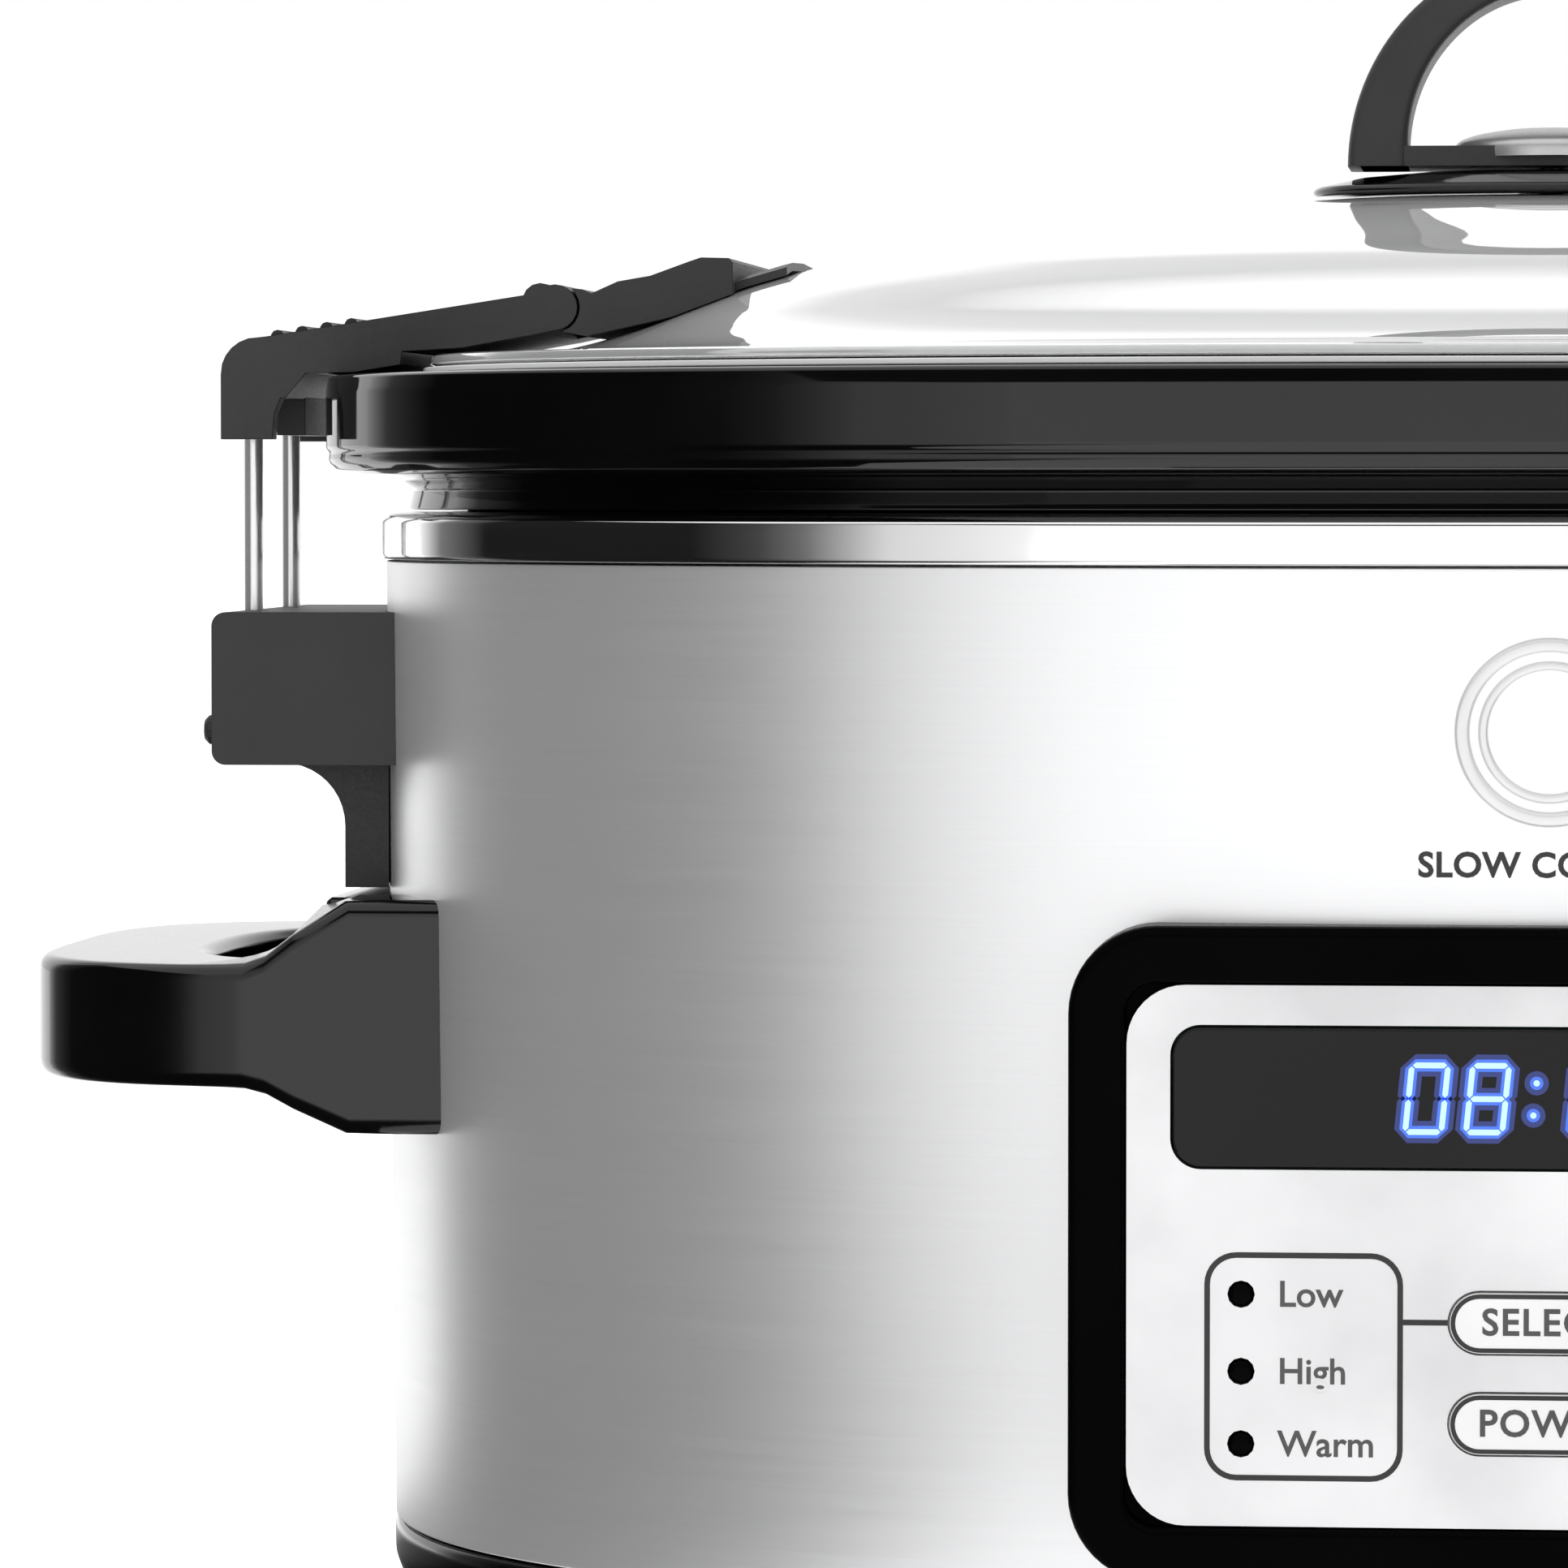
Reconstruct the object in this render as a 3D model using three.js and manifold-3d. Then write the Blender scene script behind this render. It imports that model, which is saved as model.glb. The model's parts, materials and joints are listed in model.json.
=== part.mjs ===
// Oval slow cooker with a clip-down glass lid, built as separate pieces.
// Millimetres, +Z up, front towards -Y, origin on the floor under the middle.
import * as THREE from 'three';
import { mergeVertices } from 'three/addons/utils/BufferGeometryUtils.js';
import Module from 'manifold-3d';

const wasm = await Module();
wasm.setup();

// ---------------------------------------------------------------- driving dimensions
const GAP = 0.3;                 // clearance left between pieces that touch
const SIDES = 40;                // facets round every oval piece
const OVAL_POWER = 2.35;         // superellipse exponent of the plan
const OVAL_DROP = 40;            // how much shorter the Y semi-axis is than the X one
const OVAL_FULL = 130;           // radius from which the whole drop applies

const BODY_R = 169.3;            // housing half-width along X
const BODY_TAPER = 1.2;          // housing gets this much slimmer at its foot
const BODY_LOW = 20.3;
const BODY_HIGH = 158.2;
const SHEET = 1;                 // sheet metal thickness
const FOOT_HEIGHT = 6;
const FOOT_X = 112;
const FOOT_Y = 68;
const RIM_R = 178;               // crock rim half-width along X
const RIM_LOW = 165.6;
const RIM_HIGH = 184.8;
const LID_R = 163.2;

const PANEL = { halfWidth: 62.6, low: 25.4, high: 111.6, corner: 11.6, front: -135.5 };
const PLATE = { halfWidth: 55.2, low: 32.8, high: 104.2, corner: 8, front: -134.6, back: -132.8 };
const WINDOW = { halfWidth: 49.2, low: 79.8, high: 98.7, corner: 4 };
const BUTTON = { width: 26.1, height: 8.5, column: 32, rows: [60, 46.8] };
const LED = { x: -39.9, radius: 1.8, heights: [63.5, 53.4, 43.9] };

const HANDLE = { reach: 219.2, half: 62, low: 84.2, high: 101.5, rootLow: 77.7, rootHigh: 110.8 };
const BRACKET = { out: 191, neck: 173, low: 129, high: 150.9, foot: 111.1, half: 40, neckHalf: 31 };
const BAIL = { x: 188.3, low: 134, high: 185, legY: 18, radius: 1.4, slot: 1.9 };
const ARM = { half: 31, cheek: 4, hingeX: 142.5, hingeZ: 194.6, knuckle: 3.3, knuckleHalf: 14 };
const PIN_R = 1.2;

// ---------------------------------------------------------------- finishes
function finish(color, roughness, metalness) {
  return new THREE.MeshStandardMaterial({ color, roughness, metalness });
}
const brushedSteel = finish(0xbfc0c2, 0.38, 1);
const polishedSteel = finish(0xe2e3e5, 0.1, 1);
const wireSteel = finish(0xc9cacc, 0.2, 1);
const glossBlack = finish(0x0c0c0d, 0.12, 0);
const satinBlack = finish(0x2b2b2c, 0.45, 0);
const rubberBlack = finish(0x141414, 0.8, 0);
const paleSilicone = finish(0xe8e9e8, 0.45, 0);
const stoneware = finish(0x08080a, 0.06, 0);
const clearGlass = finish(0xe6eceb, 0.03, 0);
const silverPlate = finish(0xd9dadc, 0.3, 0.8);
const silverButton = finish(0xe4e5e6, 0.4, 0.3);
const darkWindow = finish(0x2a2a2a, 0.15, 0);
const mica = finish(0xb9a27a, 0.7, 0);
const wool = finish(0xe9e2cf, 0.95, 0);
const aluminium = finish(0xa9abad, 0.45, 1);
const boardGreen = finish(0x2c6b3f, 0.6, 0);

// ---------------------------------------------------------------- solids
function solidOf(geometry) {
  const bare = geometry.clone();
  bare.deleteAttribute('normal');
  bare.deleteAttribute('uv');
  const merged = mergeVertices(bare, 1e-4);
  const old = merged.index.array;
  const triVerts = [];
  for (let i = 0; i < old.length; i += 3) {
    const [a, b, c] = [old[i], old[i + 1], old[i + 2]];
    if (a !== b && b !== c && c !== a) triVerts.push(a, b, c);
  }
  return new wasm.Manifold(new wasm.Mesh({
    numProp: 3,
    vertProperties: Float32Array.from(merged.attributes.position.array),
    triVerts: Uint32Array.from(triVerts),
  }));
}

function geometryOf(solid) {
  const mesh = solid.getMesh();
  const geometry = new THREE.BufferGeometry();
  geometry.setAttribute('position', new THREE.BufferAttribute(mesh.vertProperties, 3));
  geometry.setIndex(new THREE.BufferAttribute(mesh.triVerts, 1));
  geometry.computeVertexNormals();
  return geometry;
}

function joined(first, ...rest) {
  return rest.reduce((sum, next) => sum.add(next), first);
}

function cut(first, ...tools) {
  return tools.reduce((left, tool) => left.subtract(tool), first);
}

// Profiles are [radius, height] points; the outline has to run with its material on the left.
function latheGeometry(profile, sides) {
  const closesOnAxis = profile[0][0] === 0 && profile[profile.length - 1][0] === 0;
  const loop = closesOnAxis ? profile : [...profile, profile[0]];
  let area = 0;
  loop.forEach(([r, z], i) => {
    const [nextR, nextZ] = loop[(i + 1) % loop.length];
    area += r * nextZ - nextR * z;
  });
  const ordered = area > 0 ? loop : [...loop].reverse();
  const points = ordered.map(([r, z]) => new THREE.Vector2(r, z));
  return new THREE.LatheGeometry(points, sides).rotateX(Math.PI / 2);
}

function ovalSolid(profile) {
  const geometry = latheGeometry(profile, SIDES);
  const place = geometry.attributes.position;
  for (let i = 0; i < place.count; i += 1) {
    const radius = Math.hypot(place.getX(i), place.getY(i));
    if (radius > 1e-6) {
      const angle = Math.atan2(place.getY(i), place.getX(i));
      const short = radius - OVAL_DROP * Math.min(1, radius / OVAL_FULL);
      const across = Math.abs(Math.cos(angle) / radius) ** OVAL_POWER;
      const along = Math.abs(Math.sin(angle) / short) ** OVAL_POWER;
      const reach = (across + along) ** (-1 / OVAL_POWER);
      place.setXY(i, reach * Math.cos(angle), reach * Math.sin(angle));
    }
  }
  return solidOf(geometry);
}

function roundSolid(profile, sides = 16) {
  return solidOf(latheGeometry(profile, sides));
}

// Same as roundSolid, but with its axis along +X (heights become X) or +Y.
function roundAlongX(profile, y, z, sides = 12) {
  const geometry = latheGeometry(profile, sides).rotateY(Math.PI / 2);
  return solidOf(geometry.translate(0, y, z));
}

function roundAlongY(profile, x, z, sides = 12) {
  const geometry = latheGeometry(profile, sides).rotateX(-Math.PI / 2);
  return solidOf(geometry.translate(x, 0, z));
}

function rod(radius, low, high) {
  return [[0, low], [radius, low], [radius, high], [0, high]];
}

function extrudeUp(shape, low, high, curveSegments = 5) {
  const geometry = new THREE.ExtrudeGeometry(shape, { depth: high - low, bevelEnabled: false, curveSegments });
  return solidOf(geometry.translate(0, 0, low));
}

// The shape's x and y become X and Z, and it runs from Y = near to Y = far.
function extrudeBack(shape, near, far, curveSegments = 5) {
  const geometry = new THREE.ExtrudeGeometry(shape, { depth: far - near, bevelEnabled: false, curveSegments });
  return solidOf(geometry.rotateX(Math.PI / 2).translate(0, far, 0));
}

function box(x0, x1, y0, y1, z0, z1) {
  const geometry = new THREE.BoxGeometry(x1 - x0, y1 - y0, z1 - z0);
  return solidOf(geometry.translate((x0 + x1) / 2, (y0 + y1) / 2, (z0 + z1) / 2));
}

function polygon(points) {
  return new THREE.Shape(points.map(([x, y]) => new THREE.Vector2(x, y)));
}

function roundedRect(x0, y0, x1, y1, radius) {
  const shape = new THREE.Shape();
  shape.moveTo(x0 + radius, y0);
  shape.lineTo(x1 - radius, y0);
  shape.absarc(x1 - radius, y0 + radius, radius, -Math.PI / 2, 0);
  shape.lineTo(x1, y1 - radius);
  shape.absarc(x1 - radius, y1 - radius, radius, 0, Math.PI / 2);
  shape.lineTo(x0 + radius, y1);
  shape.absarc(x0 + radius, y1 - radius, radius, Math.PI / 2, Math.PI);
  shape.lineTo(x0, y0 + radius);
  shape.absarc(x0 + radius, y0 + radius, radius, Math.PI, 1.5 * Math.PI);
  return shape;
}

function centredRect(size, inset = 0) {
  const half = size.halfWidth - inset;
  return roundedRect(-half, size.low + inset, half, size.high - inset, size.corner - inset);
}

function pill(x, z, width, height) {
  return roundedRect(x - width / 2, z - height / 2, x + width / 2, z + height / 2, height / 2 - 0.01);
}

// Half of a superellipse about (cx, 0), from -Y round to +Y on the +X side.
function halfOval(cx, reach, half, power, steps) {
  return Array.from({ length: steps + 1 }, (_, i) => {
    const angle = -Math.PI / 2 + (Math.PI * i) / steps;
    const x = Math.max(0, Math.cos(angle)) ** (2 / power);
    const y = Math.sign(Math.sin(angle)) * Math.abs(Math.sin(angle)) ** (2 / power);
    return [cx + (reach - cx) * x, half * y];
  });
}

const part = new THREE.Group();
function place(name, solid, material, parent = part) {
  const mesh = new THREE.Mesh(geometryOf(solid), material);
  mesh.name = name;
  parent.add(mesh);
  return mesh;
}

// The space that the housing takes, with clearance, for cutting what is fixed to it.
const housingSpace = ovalSolid(rod(BODY_R + GAP, 0, 170));

// ---------------------------------------------------------------- housing
const shellFoot = BODY_R - BODY_TAPER;
const glandHeight = 32;
const handleScrewY = 48;
const handleScrewZ = (HANDLE.rootLow + HANDLE.rootHigh) / 2;
const bracketScrewZ = 133.9;

function sideHoles(radius, y, z) {
  return [
    roundAlongX(rod(radius, 120, 200), y, z),
    roundAlongX(rod(radius, -200, -120), y, z),
  ];
}

function buildHousing() {
  const wall = ovalSolid([
    [shellFoot, BODY_LOW],
    [BODY_R, BODY_HIGH],
    [BODY_R - SHEET, BODY_HIGH],
    [shellFoot - SHEET, BODY_LOW],
  ]);
  const panelHole = extrudeBack(roundedRect(-52, 36, 52, 101, 6), -140, -100);
  const glandHole = roundAlongY(rod(6.5, 120, 140), 0, glandHeight, 24);
  place('outer_shell', cut(
    wall,
    panelHole,
    glandHole,
    ...sideHoles(1.9, -handleScrewY, handleScrewZ),
    ...sideHoles(1.9, handleScrewY, handleScrewZ),
    ...sideHoles(1.8, 0, bracketScrewZ),
  ), brushedSteel);

  place('top_ring', ovalSolid([
    [169.2, 158.5], [170.2, 158.5], [170.5, 159], [170.5, 163.9], [170, 164.9], [168.5, 165.3],
    [160, 165.3], [160, 164.3], [168, 164.3], [169.2, 163.2],
  ]), polishedSteel);

  const pan = ovalSolid([
    [0, FOOT_HEIGHT + GAP], [157, FOOT_HEIGHT + GAP], [162.5, 7.8], [166.4, 10.4], [168, 13.6], [168.2, 20],
    [165.5, 20], [165.1, 14.5], [163, 11.4], [157, 9.3], [0, 9.3],
  ]);
  const posts = footPlaces.map(([x, y]) => roundSolid(rod(5, 8, 18)).translate(x, y, 0));
  const screwHoles = footPlaces.map(([x, y]) => roundSolid(rod(1.8, 0, 30)).translate(x, y, 0));
  place('base_pan', cut(joined(pan, ...posts), ...screwHoles), glossBlack);

  footPlaces.forEach(([x, y], i) => {
    const foot = place(`foot_${i + 1}`, roundSolid([
      [4.3, 0], [10.5, 0], [11.6, 1.2], [12.2, FOOT_HEIGHT], [1.8, FOOT_HEIGHT], [1.8, 3.2], [4.3, 3.2],
    ]), rubberBlack);
    foot.position.set(x, y, 0);
    const screw = place(`foot_screw_${i + 1}`, roundSolid([
      [0, 1.4], [3.2, 1.4], [3.8, 2.1], [3.8, 2.9], [1.5, 2.9], [1.5, 15], [0.6, 16.5], [0, 16.5],
    ]), wireSteel);
    screw.position.set(x, y, 0);
  });

  place('cord_gland', roundAlongY([
    [3.6, 122.3], [7.3, 122.3], [7.3, 126.7], [6.2, 126.7], [6.2, 128.7], [9, 128.7],
    [9, 130.4], [6.8, 133.3], [3.6, 133.3],
  ], 0, glandHeight, 24), rubberBlack);
}

const footPlaces = [[-FOOT_X, -FOOT_Y], [FOOT_X, -FOOT_Y], [FOOT_X, FOOT_Y], [-FOOT_X, FOOT_Y]];

// ---------------------------------------------------------------- heating well and crock
function buildHeating() {
  place('heating_well', ovalSolid([
    [0, 28], [148, 28], [153.5, 30], [155.5, 34], [159.8, 160], [160, 163], [168, 163], [168, 164],
    [159, 164], [158.8, 160], [154.5, 34.4], [153, 31], [147.6, 29], [0, 29],
  ]), aluminium);
  place('heater_band', ovalSolid([[157.6, 45], [159.6, 45], [159.6, 75], [157.6, 75]]), mica);
  place('insulation_wrap', ovalSolid([[160, 42], [166, 42], [166, 80], [160, 80]]), wool);
  place('temperature_sensor', roundSolid([
    [0, 29.3], [9, 29.3], [9, 31], [6.5, 31], [6.5, 33.6], [5.8, 34], [0, 34],
  ]), aluminium);
  place('thermal_fuse', roundAlongX(rod(2.4, -70, -46), 20, 25), silverPlate);
  place('crock', ovalSolid([
    [0, 34.3], [140, 34.3], [147, 37], [149.6, 43], [157, 150], [157.6, RIM_LOW], [166, RIM_LOW],
    [165.4, 168.4], [168.6, 169.8], [175.4, 170.9], [177.5, 172.4], [RIM_R, 174.2], [RIM_R, 182.4], [177.6, 184.5],
    [176.6, RIM_HIGH], [153, RIM_HIGH], [150.6, 183.4], [150, 180], [143, 52], [139, 43.4], [132, 41.3],
    [0, 41.3],
  ]), stoneware);
}

// ---------------------------------------------------------------- lid
const lidGlass = 3.4;
const lidTop = [
  [54, 208.8], [73, 206.2], [91, 203.3], [104, 201.2], [112, 199.3], [120, 196.9], [128, 193.8], [134, 191.4],
  [140, 189.5], [146, 188.3], [152, 187.9],
];

// The space that the lid takes up to a given height above the glass, for what lies on it.
function lidSpace(above) {
  const dome = [[0, 211.2], [36, 210.3], ...lidTop, [LID_R, 187.8]];
  return ovalSolid([[0, 180], [LID_R, 180], ...dome.map(([r, z]) => [r, z + above]).reverse()]);
}

function buildLid() {
  const underside = lidTop.slice(0, 8).map(([r, z]) => [r - 1, z - lidGlass]).reverse();
  place('lid_glass', ovalSolid([
    [4.5, 211.2], [36, 210.3], ...lidTop, [LID_R - 0.6, 187.8], [LID_R, 187.4], [LID_R, 186.7],
    [LID_R - 0.6, 186.3], [146, 186.3], [139.5, 186.4],
    ...underside, [35, 210.3 - lidGlass], [4.5, 211.2 - lidGlass],
  ]), clearGlass);
  place('lid_gasket', ovalSolid([
    [151.5, 184.9], [162.4, 184.9], [164, 185.2], [164, 186], [151.5, 186],
  ]), paleSilicone);
  place('lid_handle_disc', ovalSolid([
    [4.5, 211.5], [29, 210.9], [34.2, 211], [34.8, 211.6], [34.2, 212.3], [28, 213.7], [18, 214.6], [4.5, 214.9],
  ]), glossBlack);
  place('lid_handle_washer', roundSolid([[2.2, 205.9], [9, 205.9], [9, 206.7], [2.2, 206.7]]), rubberBlack);
  place('lid_handle_screw', roundSolid([
    [0, 203.4], [4.2, 203.4], [5, 204.2], [5, 205.6], [1.8, 205.6], [1.8, 218.4], [0, 218.4],
  ]), wireSteel);

  const base = 215.2;
  const bar = 218.1;
  const arch = new THREE.Shape();
  arch.moveTo(-29.4, base);
  arch.lineTo(29.4, base);
  arch.absellipse(0, base, 29.4, 246.2 - base, 0, Math.PI);
  const opening = new THREE.Path();
  opening.moveTo(20.7, bar);
  opening.absellipse(0, bar, 20.7, 240.7 - bar, 0, Math.PI);
  opening.closePath();
  arch.holes.push(opening);
  const grip = extrudeBack(arch, -12, 12, 24);
  const boss = roundSolid([[0, 216], [11, 216], [10.6, 219.4], [7, 220.8], [0, 221]], 24);
  const bore = roundSolid(rod(2.1, 210, 218.7));
  place('lid_handle', cut(joined(grip, boss), bore), satinBlack);
}

// ---------------------------------------------------------------- control panel
const buttonPlaces = {
  select_button: [0, BUTTON.rows[0]],
  power_button: [0, BUTTON.rows[1]],
  time_up_button: [BUTTON.column, BUTTON.rows[0]],
  time_down_button: [BUTTON.column, BUTTON.rows[1]],
};

function buildPanel() {
  const ledgeBack = -122;
  const frame = extrudeBack(centredRect(PANEL), PANEL.front, ledgeBack);
  const opening = extrudeBack(centredRect(PLATE), PANEL.front - 1, PLATE.back + GAP);
  const through = extrudeBack(centredRect(PLATE, 3), PANEL.front - 1, ledgeBack + 1);
  place('panel_bezel', cut(frame, opening, through, housingSpace), glossBlack);

  const plate = extrudeBack(centredRect(PLATE, GAP), PLATE.front, PLATE.back);
  const windowHole = extrudeBack(centredRect(WINDOW), PANEL.front, -130);
  const buttonHoles = Object.values(buttonPlaces).map(([x, z]) =>
    extrudeBack(pill(x, z, BUTTON.width, BUTTON.height), PANEL.front, -130));
  const ledHoles = LED.heights.map((z) => roundAlongY(rod(LED.radius, -140, -130), LED.x, z));
  place('panel_plate', cut(plate, windowHole, ...buttonHoles, ...ledHoles), silverPlate);

  place('display_window', extrudeBack(centredRect(WINDOW, GAP), PLATE.front - 0.2, PLATE.back), darkWindow);
  place('display_module', box(-47, 47, -132.4, -129.9, 81, 97.6), satinBlack);

  Object.entries(buttonPlaces).forEach(([name, [x, z]]) => {
    const slack = 2 * GAP;
    const cap = extrudeBack(
      pill(x, z, BUTTON.width - slack, BUTTON.height - slack),
      PLATE.front - 0.6,
      -132,
    );
    const flange = extrudeBack(pill(x, z, BUTTON.width + 2.4, BUTTON.height + 2.4), PLATE.back + GAP, -131.4);
    const stem = roundAlongY(rod(2, -131.6, -130.6), x, z, 12);
    place(name, joined(cap, flange, stem), silverButton);
  });

  ['low_led', 'high_led', 'warm_led'].forEach((name, i) => {
    place(name, roundAlongY([
      [0, -135], [1.1, -134.9], [1.5, -134.5], [1.5, -132.5], [2.6, -132.5], [2.6, -130], [0, -130],
    ], LED.x, LED.heights[i]), darkWindow);
  });

  place('control_board', box(-49, 49, -129.4, -127.8, 38, 99), boardGreen);
  const relay = box(-38, -18, -22, -6, 11, 24);
  const transformer = box(6, 36, -20, 14, 11, 25);
  const board = box(-52, 52, -34, 34, 10, 11.6);
  place('power_board', joined(board, relay, transformer), boardGreen);
}

// ---------------------------------------------------------------- one side: grip and lid latch
// Everything here is drawn for the +X side; the other side is the same group turned half round.
function buildSide(name, side) {
  const rootEnd = 172;
  const flareEnd = 184;
  const edge = 3;
  const front = new THREE.Shape();
  front.moveTo(150, HANDLE.rootLow);
  front.lineTo(rootEnd, HANDLE.rootLow);
  front.quadraticCurveTo(176, HANDLE.low, flareEnd, HANDLE.low);
  front.lineTo(HANDLE.reach - edge, HANDLE.low);
  front.quadraticCurveTo(HANDLE.reach, HANDLE.low, HANDLE.reach, HANDLE.low + edge);
  front.lineTo(HANDLE.reach, HANDLE.high - edge);
  front.quadraticCurveTo(HANDLE.reach, HANDLE.high, HANDLE.reach - edge, HANDLE.high);
  front.lineTo(flareEnd, HANDLE.high);
  front.quadraticCurveTo(176, HANDLE.high, rootEnd, HANDLE.rootHigh);
  front.lineTo(150, HANDLE.rootHigh);
  const outline = halfOval(168, HANDLE.reach, HANDLE.half, 3.4, 32);
  const plan = polygon([[150, -HANDLE.half], ...outline, [150, HANDLE.half]]);
  const fingers = polygon([[173.6, -43], ...halfOval(175, 195.2, 43, 2.6, 20), [173.6, 43]]);
  const screwBores = [-handleScrewY, handleScrewY].map((y) =>
    roundAlongX(rod(1.9, 140, 171), y, handleScrewZ));
  place(`${name}_handle`, cut(
    extrudeUp(plan, HANDLE.rootLow, HANDLE.rootHigh).intersect(extrudeBack(front, -70, 70, 6)),
    extrudeUp(fingers, 60, 130),
    housingSpace,
    ...screwBores,
  ), glossBlack, side);
  [-handleScrewY, handleScrewY].forEach((y, i) => {
    place(`${name}_handle_screw_${i + 1}`, roundAlongX([
      [0, 156.4], [3, 156.4], [3, 158.4], [1.5, 158.4], [1.5, 168], [0, 169],
    ], y, handleScrewZ), wireSteel, side);
  });

  buildBracket(name, side);
  buildBail(name, side);
  buildArm(name, side);
  buildTip(name, side);
}

function buildBracket(name, side) {
  const fillet = 9;
  const corner = 2;
  const block = roundedRect(150, BRACKET.low, BRACKET.out, BRACKET.high, corner);
  const neck = new THREE.Shape();
  neck.moveTo(150, BRACKET.foot);
  neck.lineTo(BRACKET.neck, BRACKET.foot);
  neck.lineTo(BRACKET.neck, BRACKET.low - fillet);
  neck.absarc(BRACKET.neck + fillet, BRACKET.low - fillet, fillet, Math.PI, Math.PI / 2, true);
  neck.lineTo(BRACKET.neck + fillet, BRACKET.low + 1);
  neck.lineTo(150, BRACKET.low + 1);
  const slots = [-BAIL.legY, BAIL.legY].map((y) =>
    box(BAIL.x - 2.1, 200, y - BAIL.slot, y + BAIL.slot, BAIL.low - 2.5, 160));
  const footBores = [-1, 1].map((way) =>
    roundAlongY(rod(1.8, 0, 8), BAIL.x, BAIL.low).translate(0, way * 21 - 4, 0));
  const rivets = [-34.2, 34.2].map((y) => roundAlongX([
    [0, 188], [2.1, 188], [2.1, BRACKET.out + 1.2], [1.5, BRACKET.out + 1.8], [0, BRACKET.out + 1.8],
  ], y, bracketScrewZ));
  place(`${name}_latch_bracket`, cut(
    joined(
      extrudeBack(block, -BRACKET.half, BRACKET.half),
      extrudeBack(neck, -BRACKET.neckHalf, BRACKET.neckHalf),
      ...rivets,
    ),
    housingSpace,
    ...slots,
    ...footBores,
    roundAlongX(rod(1.5, 140, 200), 0, bracketScrewZ),
  ), satinBlack, side);
  place(`${name}_bracket_screw`, roundAlongX([
    [0, 165.5], [1.2, 166.5], [1.2, 191.3], [2, 191.3], [2, 192.1], [1.5, 192.6], [0, 192.6],
  ], 0, bracketScrewZ), satinBlack, side);
}

function wireAlong(points, radius) {
  const pieces = [];
  points.forEach(([x, y, z], i) => {
    pieces.push(solidOf(new THREE.SphereGeometry(radius, 8, 4).translate(x, y, z)));
    if (i > 0) {
      const start = new THREE.Vector3(...points[i - 1]);
      const span = new THREE.Vector3(x, y, z).sub(start);
      const turn = new THREE.Quaternion().setFromUnitVectors(new THREE.Vector3(0, 1, 0), span.clone().normalize());
      const middle = start.clone().addScaledVector(span, 0.5);
      const stick = new THREE.CylinderGeometry(radius, radius, span.length(), 8).applyQuaternion(turn);
      pieces.push(solidOf(stick.translate(...middle.toArray())));
    }
  });
  return joined(...pieces);
}

function buildBail(name, side) {
  const foot = 23.4;
  const corner = 1.6;
  place(`${name}_bail`, wireAlong([
    [BAIL.x, -foot, BAIL.low],
    [BAIL.x, -BAIL.legY, BAIL.low],
    [BAIL.x, -BAIL.legY, BAIL.high - corner],
    [BAIL.x, -BAIL.legY + corner, BAIL.high],
    [BAIL.x, BAIL.legY - corner, BAIL.high],
    [BAIL.x, BAIL.legY, BAIL.high - corner],
    [BAIL.x, BAIL.legY, BAIL.low],
    [BAIL.x, foot, BAIL.low],
  ], BAIL.radius), wireSteel, side);
}

// A rod along Y between two distances from the middle, on both sides of it.
function pairAlongY(radius, near, far, x, z, sides) {
  return [[-far, -near], [near, far]].map(([low, high]) => roundAlongY(rod(radius, low, high), x, z, sides));
}

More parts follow.
